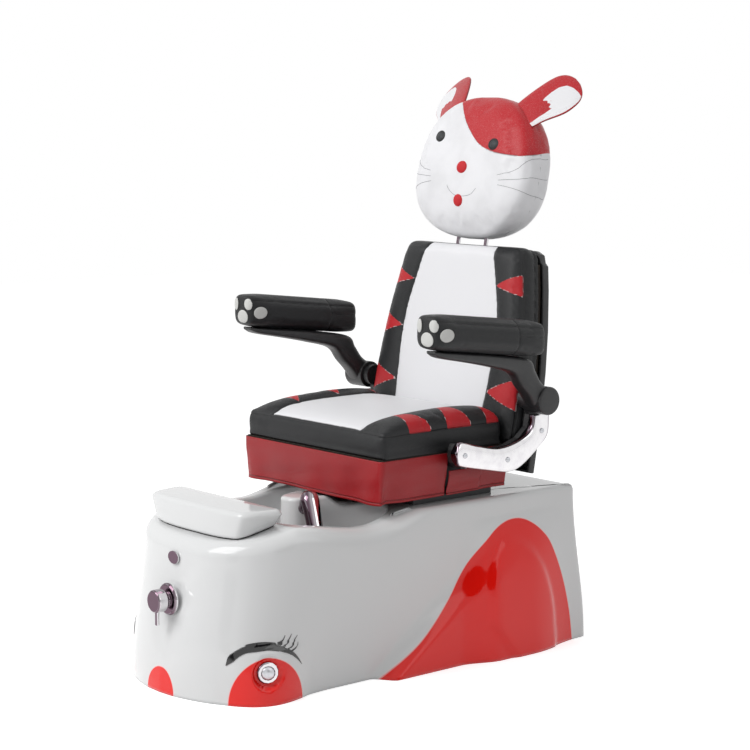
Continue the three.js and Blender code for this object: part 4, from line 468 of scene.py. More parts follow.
def chrome_finish():
    made = Finish("polished chrome", (0.78, 0.77, 0.78), 0.04, 0.12, 0.03, metal=1.0)
    made.cloud(60.0, (0.66, 0.64, 0.67), 0.6)
    facing = add(made.tree, "ShaderNodeVectorMath", operation="DOT_PRODUCT")
    made.tree.links.new(add(made.tree, "ShaderNodeTexCoord").outputs["Normal"], facing.inputs[0])
    facing.inputs[1].default_value = CHROME_LIT_SIDE
    # Painted shade: the plating turns dark and a little purple where its normal faces away from the lit side.
    shade = made.math("SUBTRACT", 1.0, made.band(facing.outputs["Value"], -0.3, 0.5))
    made.paint(shade, (0.12, 0.075, 0.1))
    # Painted reflections: darker bands that follow the facing direction, standing in for a reflected room.
    wave = made.math("SINE", made.math("MULTIPLY", facing.outputs["Value"], 9.0))
    painted_reflection_band = made.math("MULTIPLY", made.band(wave, 0.55, 0.95), 0.75)
    made.paint(painted_reflection_band, (0.3, 0.27, 0.3))
    made.raise_by(noise(made.tree, made.place, 400.0), 0.00001)
    return made.done()


def zinc_finish():
    made = Finish("bright zinc", (0.56, 0.57, 0.6), 0.25, 0.45, 0.01, metal=1.0)
    made.cloud(150.0, (0.44, 0.45, 0.47), 0.7)
    made.raise_by(noise(made.tree, made.place, 900.0), 0.00003)
    return made.done()


def powder_finish():
    made = Finish("dark powder coat", (0.016, 0.017, 0.019), 0.38, 0.55, 0.08)
    made.cloud(40.0, (0.03, 0.031, 0.034), 0.5)
    made.raise_by(noise(made.tree, made.place, 700.0, 3.0), 0.00009)
    return made.done()


def plastic_finish(name, color, other, low=0.34, high=0.5):
    made = Finish(name, color, low, high, 0.05)
    made.cloud(60.0, other, 0.5)
    grain = made.group(GRAIN, **{"Cell size mm": 0.9, "Depth": 1.0})
    made.raise_by(grain.outputs["Height"], 0.00004)
    return made.done()


def rubber_finish():
    made = Finish("matt rubber", (0.014, 0.014, 0.014), 0.6, 0.8, 0.03)
    made.cloud(120.0, (0.03, 0.03, 0.03), 0.6)
    made.raise_by(noise(made.tree, made.place, 1200.0), 0.00006)
    return made.done()


def plywood_finish():
    made = Finish("plywood", (0.46, 0.3, 0.16), 0.5, 0.7, 0.05)
    rings = add(made.tree, "ShaderNodeTexWave", Scale=14.0, Distortion=6.0, Detail=3.0, bands_direction="X")
    made.tree.links.new(made.place, rings.inputs["Vector"])
    made.paint(made.math("MULTIPLY", rings.outputs["Fac"], 0.5), (0.33, 0.2, 0.1))
    made.raise_by(noise(made.tree, made.place, 500.0), 0.00008)
    return made.done()


chrome = chrome_finish()
zinc = zinc_finish()
powder = powder_finish()
black_plastic = plastic_finish("black moulding", (0.013, 0.013, 0.014), (0.022, 0.022, 0.023))
grey_plastic = plastic_finish("grey moulding", (0.2, 0.21, 0.22), (0.26, 0.27, 0.28))
rubber = rubber_finish()
plywood = plywood_finish()
print("hard finishes:", [m.name for m in (tub_finish, plain_gelcoat, chrome, zinc, powder, black_plastic,
                                          rubber, plywood)])

# %% [markdown]
# ## The tub
# The moulded body is one surface. Seen from above, its outline is wide at the haunches, narrow at the
# waist and rounded at the front, and it leans in as it rises. Each station of the outline is a row of
# shares: x and y at the floor, then x and y at the shoulder.

# %% Measured sizes of the tub
STATIONS = [
    [0, 0, 0, 0], [0.2, 0.004, 0.21, 0.003], [0.4, 0.016, 0.41, 0.014], [0.58, 0.034, 0.59, 0.033],
    [0.72, 0.058, 0.74, 0.062], [0.81, 0.09, 0.85, 0.102], [0.86, 0.13, 0.92, 0.146],
    [0.872, 0.176, 0.965, 0.193], [0.866, 0.226, 0.99, 0.24], [0.852, 0.276, 1, 0.285],
    [0.852, 0.36, 1, 0.367], [0.852, 0.45, 1, 0.455], [0.852, 0.6, 1, 0.605], [0.852, 0.75, 1, 0.755],
    [0.852, 0.9, 1, 0.905], [0.852, 0.97, 1, 0.975], [0.85, 0.992, 0.998, 0.992],
    [0.839, 0.998, 0.985, 0.998], [0.822, 1, 0.965, 1], [0.55, 1, 0.64, 1], [0.27, 1, 0.32, 1], [0, 1, 0, 1],
]
TUB_FRONT, TUB_LENGTH, TOP_FRONT, TOP_REAR = -0.484, 1.0, -0.440, 0.484
HALF_WIDTH, DECK = 0.25, 0.357
SADDLE_FRONT, SADDLE_REAR, SADDLE_REAR_Y, RIM_DIP = 0.325, 0.352, -0.288, 0.333
FOOTREST_FRONT_Y, CHANGE_Y, CHANGE_LENGTH = -0.399, 0.010, 0.110
LEAN_FRONT, LEAN_SIDE = 0.25, 0.35
LEG_FRONT, LEG_FLARE, LEG_BLEND, LEG_SPREAD = -0.092, 0.009, 0.042, 0.45
THIGH_RAISE, THIGH_EDGE = 0.006, 0.02
HAUNCH = dict(bulge=0.028, height=0.306, front=0.130, rise=0.095, rear=0.320, fall=0.180)
EYE_BULGE = dict(bulge=0.020, height=0.118, y=-0.350, reach=0.092, forward=0.6)


def top_height(y):
    """Height of the tub's top along its length: up the saddle, down to the dip, up to the deck."""
    saddle = mix(SADDLE_FRONT, SADDLE_REAR, (y - FOOTREST_FRONT_Y) / (SADDLE_REAR_Y - FOOTREST_FRONT_Y))
    dip_y = mix(SADDLE_REAR_Y, CHANGE_Y, 0.6)
    down = mix(SADDLE_REAR, RIM_DIP, smooth((y - SADDLE_REAR_Y) / (dip_y - SADDLE_REAR_Y)))
    up = mix(RIM_DIP, DECK, smooth((y - dip_y) / (CHANGE_Y + CHANGE_LENGTH / 4 - dip_y)))
    return np.where(y <= SADDLE_REAR_Y, saddle, np.where(y <= dip_y, down, up))


# The wall lies flat round each eye button, in a shallow round recess with a pocket behind the bezel.
EYE_PLACE, EYE_TURN = np.array([0.217, -0.367, 0.066]), math.radians(66)
EYE_OUTWARD = np.array([math.sin(EYE_TURN), -math.cos(EYE_TURN), 0.0])
EYE_FLAT, EYE_RING, EYE_POCKET, EYE_POCKET_DEPTH = 0.029, 0.034, 0.0156, 0.024
EYE_SINK, EYE_POCKET_EDGE, EYE_REACH = 0.0006, 0.003, 0.04


def deck_share(y):
    return smooth((y - CHANGE_Y) / CHANGE_LENGTH + 0.5)


def tub_wall(stations, z):
    """The wall at stations and heights. The outline leans from its floor shape to its shoulder shape.
    A flared leg, a domed haunch and a domed eye bulge are added outwards."""
    floor_x, floor_y, top_x, top_y = stations.T
    lean = smooth(z / mix(LEAN_FRONT, LEAN_SIDE, smooth(2 * top_x)))
    y = mix(TUB_FRONT + floor_y * TUB_LENGTH, TOP_FRONT + top_y * (TOP_REAR - TOP_FRONT), lean)
    waist = mix(floor_x, top_x, lean) * HALF_WIDTH
    leg = top_x * (HALF_WIDTH + LEG_FLARE * (1 - lean))
    edge = LEG_FRONT + z * (HAUNCH["front"] + HAUNCH["rise"] - LEG_FRONT) / HAUNCH["height"]
    on_leg = smooth((y - edge) / (LEG_BLEND + LEG_SPREAD * z))
    dome = np.sqrt(np.maximum(0, 1 - (z / HAUNCH["height"]) ** 2))
    rise = smooth((y - HAUNCH["front"]) / HAUNCH["rise"])
    along = rise * (1 - smooth((y - HAUNCH["rear"]) / HAUNCH["fall"]))
    eye_dome = np.sqrt(np.maximum(0, 1 - (z / EYE_BULGE["height"]) ** 2))
    from_eye = (y - EYE_BULGE["y"]) / EYE_BULGE["reach"]
    eye = EYE_BULGE["bulge"] * eye_dome * np.maximum(0, 1 - from_eye**2) * smooth(top_x * 1.6 - 0.6)
    x = np.maximum(waist, mix(waist, leg, on_leg)) + HAUNCH["bulge"] * dome * along + eye
    thigh = inside(np.stack([y, z + 0 * y], axis=-1), THIGH_LINE)
    x = x + THIGH_RAISE * smooth(thigh / THIGH_EDGE + 0.5) * (top_x > 0.8)
    return np.stack([x, y - eye * EYE_BULGE["forward"], z + 0 * y], axis=-1)


THIGH_LINE = through([
    (0.196, 0.085), (0.204, 0.16), (0.222, 0.224), (0.25, 0.258), (0.289, 0.258), (0.33, 0.233),
    (0.365, 0.185), (0.388, 0.125), (0.398, 0.06), (0.395, -0.02), (0.3, -0.03), (0.22, 0.06),
], 60)


def inwards(line, reach):
    """Every point of a half outline moved in plan by reach, square to the outline's run."""
    mirrored = line[1:2] * (-1, 1, 1)
    ahead = np.concatenate([line[1:], line[-2:-1] * (-1, 1, 1)])
    behind = np.concatenate([mirrored, line[:-1]])
    run = unit((ahead - behind)[:, :2])
    moved = line.copy()
    moved[:, 0] -= run[:, 1] * reach
    moved[:, 1] += run[:, 0] * reach
    return moved


# %% [markdown]
# The basin is drawn the same way: one outline from the front of the basin round its side to the tip of
# the nose that carries the spout. The top of the tub is the band between the two outlines.

# %% Basin outline and the tub's rows
BASIN_HALF, BASIN_FRONT, BASIN_REAR, BASIN_FLOOR = 0.192, -0.278, 0.006, 0.128
NOSE_TIP, NOSE_REAR, NOSE_TOP = -0.152, -0.066, 0.369
BASIN_SHARES = [(0, 0), (0.3, 0), (0.6, 0.002), (0.82, 0.03), (0.95, 0.13), (1, 0.28), (1.02, 0.48),
                (1.01, 0.72), (0.95, 0.89), (0.8, 0.985), (0.58, 0.99), (0.4, 0.9), (0.27, 0.74)]
NOSE_STEP = dict(half=0.052, fall=0.03, front=-0.19, rise=0.03, rear=-0.075, drop=0.05)
SHOULDER_DROP, SHOULDER_REACH = (0.038, 0.014), (0.034, 0.014)
RIM_LIP, BASIN_DRAFT, BASIN_FILLET = 0.009, 0.012, 0.018
HALF_COUNT, WALL_ROWS, SHOULDER_ROWS, TOP_ROWS, LIP_ROWS, BASIN_ROWS = 210, 46, 10, 18, 7, 16
CROWD_ALONG, CROWD_UP = dict(more=2.0, width=0.05), dict(more=1.8, level=0.2, width=0.15)


def basin_half():
    """The basin's right-hand outline at the rim, front centre to nose tip."""
    stops = [(x * BASIN_HALF, BASIN_FRONT + y * (BASIN_REAR - BASIN_FRONT)) for x, y in BASIN_SHARES]
    stops += [(0.17 * BASIN_HALF, mix(NOSE_TIP, NOSE_REAR, 0.25)),
              (0.09 * BASIN_HALF, mix(NOSE_TIP, NOSE_REAR, 0.05))]
    stops.append((0.0, NOSE_TIP))
    line = through(stops, HALF_COUNT)
    line[0, 0] = line[-1, 0] = 0
    return np.column_stack([line, np.zeros(HALF_COUNT)])


def tub_top(x, y):
    """The top's height, with the nose's plateau standing on it."""
    near_middle = 1 - smooth((np.abs(x) - NOSE_STEP["half"]) / NOSE_STEP["fall"])
    before_rear = 1 - smooth((y - NOSE_STEP["rear"]) / NOSE_STEP["drop"])
    on_nose = near_middle * before_rear * smooth((y - NOSE_STEP["front"]) / NOSE_STEP["rise"])
    return mix(top_height(y), NOSE_TOP, on_nose)


def tub_rows():
    """All rows of the right-hand half, from the floor up the wall, over the top and down the basin."""
    stations = through(STATIONS, 900)
    lean_line = tub_wall(stations, LEAN_FRONT)
    run = np.concatenate([[0], np.cumsum(np.linalg.norm(np.diff(lean_line[:, :2], axis=0), axis=1))])
    near_eye = run[np.argmin(np.abs(lean_line[:, 1] - EYE_PLACE[1]))]
    closer = CROWD_ALONG["more"] * np.exp(-(((run - near_eye) / CROWD_ALONG["width"]) ** 2))
    crowd = np.cumsum(np.diff(run, prepend=0.0) * (1 + closer))
    places = np.interp(np.linspace(0, crowd[-1], HALF_COUNT), crowd, run)
    stations = np.stack([np.interp(places, run, stations[:, k]) for k in range(4)], axis=1)
    place_y = tub_wall(stations, LEAN_FRONT)[:, 1]
    drop = mix(*SHOULDER_DROP, deck_share(place_y))
    reach = mix(*SHOULDER_REACH, deck_share(place_y))
    edge = top_height(place_y) - drop
    levels = np.linspace(0, 1, 400)
    from_level = (levels - CROWD_UP["level"]) / CROWD_UP["width"]
    crowd = np.cumsum(1 + CROWD_UP["more"] * np.exp(-(from_level**2)))
    shares = np.interp(np.linspace(crowd[0], crowd[-1], WALL_ROWS), crowd, levels)
    rows = [tub_wall(stations, edge * share) for share in shares]
    shoulder = rows[-1]
    full = inwards(shoulder, reach)
    for angle in np.linspace(0, np.pi / 2, SHOULDER_ROWS)[1:]:
        row = inwards(shoulder, reach * (1 - np.cos(angle)))
        row[:, 2] = np.maximum(edge, top_height(full[:, 1]) - drop + drop * np.sin(angle))
        rows.append(row)
    top_edge, rim = rows[-1], basin_half()
    outer_rim = inwards(rim, -RIM_LIP)
    for share in np.linspace(0, 1, TOP_ROWS)[1:]:
        row = mix(top_edge, outer_rim, share)
        row[:, 2] = tub_top(row[:, 0], row[:, 1])
        rows.append(row)
    rim_height = tub_top(outer_rim[:, 0], outer_rim[:, 1])
    for angle in np.linspace(0, np.pi / 2, LIP_ROWS)[1:]:
        row = inwards(rim, -RIM_LIP * (1 - np.sin(angle)))
        row[:, 2] = rim_height - RIM_LIP * (1 - np.cos(angle))
        rows.append(row)
    for share in np.linspace(0, 1, BASIN_ROWS)[1:]:
        row = inwards(rim, BASIN_DRAFT * share)
        row[:, 2] = mix(rim_height - RIM_LIP, BASIN_FLOOR + BASIN_FILLET, share)
        rows.append(row)
    for angle in np.linspace(0, np.pi / 2, LIP_ROWS)[1:]:
        row = inwards(rim, BASIN_DRAFT + BASIN_FILLET * (1 - np.cos(angle)))
        row[:, 2] = BASIN_FLOOR + BASIN_FILLET * (1 - np.sin(angle))
        rows.append(row)
    rows = np.array(rows)
    rows[:, 0, 0] = rows[:, -1, 0] = 0
    return rows


def both_sides(rows):
    """A half made whole: the left side, then the mirrored right side, without the doubled ends."""
    return np.concatenate([rows, (rows * (-1, 1, 1))[:, -2:0:-1]], axis=1)


# %% [markdown]
# The paint: a red haunch with a round top, a red nose at the middle of the front, and two red eyes.
# Each is an outline on the wall, given as distance along the wall and height, and the mesh keeps the
# signed distance to it.

# %% Painted outlines on the wall
HAUNCH_LINE = through([
    (-0.092, -0.012), (-0.077, 0.001), (0.030, 0.073), (0.111, 0.150), (0.163, 0.226), (0.205, 0.268),
    (0.235, 0.290), (0.270, 0.302), (0.305, 0.303), (0.335, 0.293), (0.370, 0.268), (0.400, 0.233),
    (0.436, 0.156), (0.460, 0.075), (0.472, 0.0), (0.475, -0.02),
], 120)


NOSE_RADIUS, NOSE_WIDTH, NOSE_HEIGHT = 0.052, 0.9, 0.002
EYE_RADIUS, EYE_TALL = 0.0975, 1.22
NO_PAINT, PAINT_BELOW_TOP, PAINT_FRONT_Y, HAUNCH_FROM_X, EYE_FROM_X = -0.05, 0.02, -0.2, 0.2, 0.1


def wall_marks(grid):
    """Signed distance to the red paint for every point of the tub: the haunch's outline, and radius
    minus distance for the nose and for the eyes, which lie along the wall."""
    side, y, z = np.abs(grid[..., 0]), grid[..., 1], grid[..., 2]
    haunch = np.where(side > HAUNCH_FROM_X, inside(np.stack([y, z], axis=-1), HAUNCH_LINE), NO_PAINT)
    at_front = y < PAINT_FRONT_Y
    nose = np.where(at_front, NOSE_RADIUS - np.hypot(side / NOSE_WIDTH, z - NOSE_HEIGHT), NO_PAINT)
    from_eye = (side - EYE_PLACE[0]) * math.cos(EYE_TURN) + (y - EYE_PLACE[1]) * math.sin(EYE_TURN)
    eye = EYE_RADIUS - np.hypot(from_eye * EYE_TALL, z)
    eye = np.where(at_front & (side > EYE_FROM_X), eye, NO_PAINT)
    outside = z < tub_top(grid[..., 0], y) - PAINT_BELOW_TOP
    return np.where(outside, np.maximum(haunch, np.maximum(nose, eye)), NO_PAINT)


def eye_flats(wall):
    """The wall with a flat round each eye. Points near an eye's axis move along it to the flat's depth."""
    side = np.where(wall[..., :1] < 0, -1.0, 1.0) * (1, 0, 0) + (0, 1, 1)
    offset = wall * side - EYE_PLACE
    depth = offset @ EYE_OUTWARD
    radius = np.linalg.norm(offset - depth[..., None] * EYE_OUTWARD, axis=-1)
    near = (1 - smooth((radius - EYE_FLAT) / (EYE_RING - EYE_FLAT))) * (np.abs(depth) < EYE_REACH)
    pocket = 1 - smooth((radius - EYE_POCKET) / EYE_POCKET_EDGE)
    shift = (-EYE_SINK - EYE_POCKET_DEPTH * pocket - depth) * near
    return wall + shift[..., None] * EYE_OUTWARD * side


tub_grid = both_sides(tub_rows())
red_marks = wall_marks(tub_grid)
red_marks[WALL_ROWS:] = NO_PAINT
tub_grid[:WALL_ROWS] = eye_flats(tub_grid[:WALL_ROWS])
tub = skin("tub_shell_skin", tub_grid, around=True, end=True, marks={"red": red_marks})
thicken(tub, 0.005)
wear(tub, tub_finish)
settle(tub, "base", "tub_gelcoat", "tub_shell")
print("tub:", len(tub.data.vertices), "points")

# %% [markdown]
# ## Upholstery
# The vinyl is glossy and softly grained, with fine sparkle in the white and the red. Each padded piece
# carries signed distances to its white and red insets and to its sewn lines, so the colours, the pale piping
# and the stitched creases, pressed in and painted darker as painted shade, all come from the same drawing.


# %% Vinyl
VINYL_BLACK, VINYL_WHITE, VINYL_RED = (0.006, 0.0065, 0.0075), (0.80, 0.80, 0.82), (0.47, 0.010, 0.016)


def vinyl(name, base, marks=(), low=0.3, high=0.46, sparkle=0.10):
    """Grained vinyl. Marks may name the attributes white, red, seam and piping."""
    made = Finish(name, base, low, high, 0.05, specular=0.32)
    grain = made.group(GRAIN, **{"Cell size mm": 1.3, "Depth": 1.0}).outputs["Height"]
    flecks = made.group(SPARKLE, **{"Fleck size mm": 0.9, "Share": 0.10}).outputs["Mask"]
    made.cloud(14.0, tuple(channel * 0.82 for channel in base), 0.6)
    if "white" in marks:
        made.paint(made.band(made.attribute("white"), -0.0004, 0.0004), VINYL_WHITE)
    if "red" in marks:
        made.paint(made.band(made.attribute("red"), -0.0004, 0.0004), VINYL_RED)
    made.paint(made.math("MULTIPLY", flecks, sparkle), (0.9, 0.9, 0.92))
    if "piping" in marks:
        thread = made.math("ABSOLUTE", made.attribute("piping"))
        line = made.math("SUBTRACT", 1.0, made.band(thread, 0.0006, 0.0014))
        made.paint(made.math("MULTIPLY", line, 0.8), (0.75, 0.62, 0.62))
        made.raise_by(line, 0.0007)
    if "seam" in marks:
        from_seam = made.math("ABSOLUTE", made.attribute("seam"))
        # Painted shade along each seam: the crease is pressed in by the bump and painted darker.
        crease = made.math("SUBTRACT", 1.0, made.band(from_seam, 0.0004, 0.0022))
        made.paint(made.math("MULTIPLY", crease, 0.6), tuple(channel * 0.3 for channel in base))
        made.raise_by(crease, -0.0012)
    made.raise_by(grain, 0.00009)
    return made.done()


black_vinyl = vinyl("black vinyl", VINYL_BLACK, ("white", "red", "seam", "piping"), 0.36, 0.5, 0.012)
plain_black = vinyl("plain black vinyl", VINYL_BLACK, (), 0.36, 0.5, 0.0)
white_vinyl = vinyl("white vinyl", VINYL_WHITE, ("red", "seam"), 0.26, 0.4)
red_vinyl = vinyl("red vinyl", VINYL_RED, ("white", "seam"), 0.24, 0.4)
skirt_vinyl = vinyl("red skirt vinyl", (0.33, 0.005, 0.009), ("seam",), 0.24, 0.38, 0.02)
print("vinyls are ready")

# %% [markdown]
# A padded piece starts as a closed form a little smaller than its cover. It is remeshed evenly, and
# cloth pressure then swells it for twenty frames. No point may move further than a cap, so the pad
# keeps to the space of its solid. Seams and colours are worked out on the swollen mesh.


# %% Padding
def points_of(piece):
    """All points of a mesh as an array."""
    flat = np.empty(len(piece.data.vertices) * 3, np.float32)
    piece.data.vertices.foreach_get("co", flat)
    return flat.reshape(-1, 3).astype(float)


def normals_of(piece):
    flat = np.empty(len(piece.data.vertices) * 3, np.float32)
    piece.data.vertex_normals.foreach_get("vector", flat)
    return flat.reshape(-1, 3).astype(float)


def move_to(piece, points):
    piece.data.vertices.foreach_set("co", np.asarray(points, np.float32).reshape(-1))
    piece.data.update()


def apply_modifier(piece, modifier):
    bpy.ops.object.select_all(action="DESELECT")
    bpy.context.view_layer.objects.active = piece
    piece.select_set(True)
    bpy.ops.object.modifier_apply(modifier=modifier.name)


def plump(piece, voxel=0.005, cap=0.006, pressure=4.0, keep=None):
    """Remeshes a form and lets cloth pressure swell it. Keep is a share from 0 to 1 for each point
    that says how much of the swelling it takes."""
    even = piece.modifiers.new("even mesh", "REMESH")
    even.mode, even.voxel_size = "VOXEL", voxel
    apply_modifier(piece, even)
    before = points_of(piece)
    scene = bpy.context.scene
    scene.frame_set(1)
    cloth = piece.modifiers.new("swell", "CLOTH")
    cloth.settings.quality = 4
    cloth.settings.use_pressure = True
    cloth.settings.uniform_pressure_force = pressure
    cloth.settings.effector_weights.gravity = 0
    for step in range(1, 21):
        scene.frame_set(step)
    shown = piece.evaluated_get(bpy.context.evaluated_depsgraph_get()).data
    flat = np.empty(len(shown.vertices) * 3, np.float32)
    shown.vertices.foreach_get("co", flat)
    piece.modifiers.remove(cloth)
    scene.frame_set(1)
    moved = flat.reshape(-1, 3).astype(float) - before
    length = np.linalg.norm(moved, axis=1, keepdims=True)
    moved *= np.minimum(1.0, cap / np.maximum(length, 1e-9))
    share = 1.0 if keep is None else keep(before)[:, None]
    move_to(piece, before + moved * share)
    piece.data.shade_smooth()
    return piece


def stitch(piece, marks, depths):
    """Stores the signed distances, and presses the mesh in along the lines that have a depth.
    A crease is depth * exp(-(distance / width)^2)."""
    points, outward = points_of(piece), normals_of(piece)
    for name, values in marks.items():
        attribute = piece.data.attributes.new(name, "FLOAT", "POINT")
        attribute.data.foreach_set("value", np.asarray(values, np.float32))
    for name, (depth, width) in depths.items():
        points -= outward * (depth * np.exp(-(marks[name] / width) ** 2))[:, None]
    move_to(piece, points)
    finer = piece.modifiers.new("finer", "SUBSURF")
    finer.levels = finer.render_levels = 1
    return piece


def rounded_box_rings(half_x, half_y, corner, levels, count=240):
    """Rings of a rounded rectangle. Each level is (inset, z) and the ring is traced by arc length."""
    rings = []
    for inset, z in levels:
        a, b = max(half_x - inset, 1e-4), max(half_y - inset, 1e-4)
        r = min(max(corner - inset, 0.0), a, b)
        turn = np.linspace(0, np.pi / 2, 9)
        quarter = np.column_stack([a - r + r * np.cos(turn), b - r + r * np.sin(turn)])
        whole = np.concatenate([quarter, quarter[::-1] * (-1, 1), quarter * (-1, -1),
                                quarter[::-1] * (1, -1)])
        closed = evenly(np.concatenate([whole, whole[:1]]), count + 1)[:-1]
        rings.append(np.column_stack([closed, np.full(count, z)]))
    return np.array(rings)


# %% [markdown]
# The seat cushion is a box with a domed top. Its white insert runs between two raised bolsters, and
# three red darts lie on each bolster with their tips inwards. The back cushion is worked out in its
# own frame: across, up the recline, and out of the face.

# %% Seat cushion
SEAT_FRONT, SEAT_REAR, SEAT_HALF, SEAT_LOW, SEAT_EDGE = -0.078, 0.274, 0.240, 0.470, 0.526
SEAT_SEAM, SEAT_CORNER, SEAT_BAND_TOP, SEAT_EDGE_SEAM, SEAT_SHOULDER = 0.151, 0.014, 0.049, 0.0495, 0.054
SEAT_ROLL, WHITE_FRONT = 0.016, SEAT_FRONT + 0.012
SEAT_DARTS = [(0.012, 0.0, 0.068), (0.130, 0.108, 0.180), (0.240, 0.224, 0.268)]
CUSHION_CREASE = {"seam": (0.0022, 0.004)}
SEAT_RISE = through([(-0.078, 0.0), (-0.060, 0.004), (-0.032, 0.012), (0.013, 0.018), (0.073, 0.021),
                     (0.131, 0.0225), (0.190, 0.0215), (0.240, 0.018), (0.274, 0.012)], 120)


def seat_top(x, y):
    """A dome that rises quickly behind the front edge, two bolsters at its sides, and a rolled edge."""
    across = np.clip(np.abs(x) / SEAT_HALF, 0, 1)
    rise = np.interp(y, SEAT_RISE[:, 0], SEAT_RISE[:, 1])
    crown = rise * (1 - (0.55 * across) ** 2)
    bolster = np.clip((np.abs(x) - SEAT_SEAM) / (SEAT_HALF - SEAT_SEAM), 0, 1)
    swell = 0.5 * rise * np.sin(np.pi * np.minimum(bolster * 1.15, 1)) ** 0.8
    return SEAT_EDGE - 0.002 + crown + swell


def seat_form():
    """Rings up the sides, over the edge and in across the top."""
    middle, half_y = (SEAT_FRONT + SEAT_REAR) / 2, (SEAT_REAR - SEAT_FRONT) / 2
    levels = [(half_y * 0.8, 0.0), (0.02, 0.0), (0.004, 0.0), (0.003, 0.004)]
    levels += [(0.003 - 0.002 * np.sin(np.pi * share), mix(0.006, SEAT_BAND_TOP, share))
               for share in np.linspace(0, 1, 8)]
    levels += [(0.0055 - 0.003 * np.cos(angle), SEAT_BAND_TOP + 0.005 * np.sin(angle))
               for angle in (0.5, 1.0, 1.5)]
    rings = rounded_box_rings(SEAT_HALF, half_y, SEAT_CORNER, levels)
    top = [rounded_box_rings(SEAT_HALF, half_y, SEAT_CORNER, [(inset, 1.0)])[0]
           for inset in np.linspace(0.008, half_y * 0.98, 40)]
    rings[..., 2] += SEAT_LOW
    for ring_points in top:
        x, y = ring_points[:, 0], ring_points[:, 1] + middle
        edge = np.minimum(SEAT_HALF - np.abs(x), half_y - np.abs(y - middle))
        rolled = 1 - smooth(edge / SEAT_ROLL)
        ring_points[:, 2] = mix(seat_top(x, y), SEAT_LOW + SEAT_SHOULDER, rolled)
    grid = np.concatenate([rings, np.array(top)])
    grid[..., 1] += middle
    return skin("seat_cushion_pad", grid, around=True, start=True, end=True)


def darts(across, along, tips, inner, outer):
    """Signed distance to triangles with a tip at inner and a base on outer. Each is (tip, low, high)."""
    plane = np.stack([across, along], axis=-1)
    found = [inside(plane, np.array([(inner(tip), tip), (outer, low), (outer, high)]))
             for tip, low, high in tips]
    return np.max(found, axis=0)


def seat_marks(points):
    """Signed distances for the seat: white between the bolsters, red darts on them, seams round both."""
    x, y, z = points[:, 0], points[:, 1] - SHIFT_Y, points[:, 2]
    on_top = z - (SEAT_LOW + SEAT_BAND_TOP)
    side = np.abs(x)
    white = np.minimum(np.minimum(SEAT_SEAM - side, y - WHITE_FRONT), on_top)
    reds = darts(side, y, SEAT_DARTS, lambda tip: SEAT_SEAM + 0.004, SEAT_HALF - 0.001)
    red = np.minimum(reds, on_top)
    edge_seam = np.abs(z - (SEAT_LOW + SEAT_EDGE_SEAM)) + np.where(np.abs(on_top) < 0.02, 0, 1)
    inner_seam = np.where(on_top > 0, np.abs(side - SEAT_SEAM), 1.0)
    front_seam = np.where((on_top > 0) & (side < SEAT_SEAM), np.abs(y - WHITE_FRONT), 1.0)
    seam = np.minimum(edge_seam, np.minimum(inner_seam, front_seam))
    piping = np.where(on_top > 0.001, np.abs(reds), 1.0)
    return {"white": white, "red": red, "seam": seam, "piping": piping}


seat_pad = plump(seat_form(), voxel=0.005, cap=0.004,
                 keep=lambda points: smooth((points[:, 2] - SEAT_LOW - 0.002) / 0.01))
stitch(seat_pad, seat_marks(points_of(seat_pad)), CUSHION_CREASE)
wear(seat_pad, black_vinyl)
settle(seat_pad, "seat", "black_vinyl", "seat_cushion")
print("seat cushion:", len(seat_pad.data.vertices), "points")

# %% Back cushion
RECLINE = math.radians(10.8)
BACK_FACE = np.array([0.0, 0.2766, 0.455])
BACK_UP = np.array([0.0, math.sin(RECLINE), math.cos(RECLINE)])
BACK_OUT = np.array([0.0, -math.cos(RECLINE), math.sin(RECLINE)])
BACK_THICK, BACK_LENGTH = 0.062, 0.455
BACK_BASE = BACK_FACE - BACK_OUT * BACK_THICK
BACK_HALF_LOW, BACK_NARROWING, BACK_CURVE = 0.251, 0.056, 2.2
BACK_DIP, BACK_PUFF, BACK_FALL, BACK_ROLL = 0.009, 0.006, 0.006, 0.024
BACK_BAND_TOP, BACK_SHOULDER, BACK_REAR_SEAM, BACK_WING_SEAM, WHITE_TOP = 0.046, 0.053, 0.012, 0.008, 0.45
BACK_DARTS, DART_OUTER = [(0.358, 0.328, 0.414), (0.248, 0.212, 0.300), (0.122, 0.080, 0.168)], 0.262


def on_back(across, up, out):
    """A point of the back's own frame in drawing metres."""
    across, up, out = np.broadcast_arrays(across, up, out)
    return BACK_BASE + across[..., None] * (1.0, 0, 0) + up[..., None] * BACK_UP + out[..., None] * BACK_OUT


def in_back(points):
    """Scene points read in the back's own frame: across, up, out."""
    local = points - (0, SHIFT_Y, 0) - BACK_BASE
    return local[:, 0], local @ BACK_UP, local @ BACK_OUT


def back_half(up):
    return BACK_HALF_LOW - BACK_NARROWING * np.clip(up / BACK_LENGTH, 0, 1) ** BACK_CURVE


WHITE_HALF = through([(-0.01, 0.145), (0.09, 0.148), (0.16, 0.153), (0.23, 0.155), (0.295, 0.150),
                      (0.36, 0.134), (0.41, 0.120), (0.466, 0.102)], 80)


def white_half(up):
    return np.interp(up, WHITE_HALF[:, 0], WHITE_HALF[:, 1])


def back_face(across, up):
    """The face dips in the middle, and its wings swell outside the white panel."""
    along = np.clip(up / BACK_LENGTH * 2 - 1, -1, 1)
    share = np.abs(across) / back_half(up)
    dip = BACK_DIP * (1 - along**2) * (1 - share**2)
    wing = np.clip((np.abs(across) - white_half(up)) / (back_half(up) - white_half(up)), 0, 1)
    puff = BACK_PUFF * np.sin(np.pi * np.minimum(wing * 1.2, 1)) * (1 - along**4)
    return BACK_THICK - dip + puff - BACK_FALL * wing**2


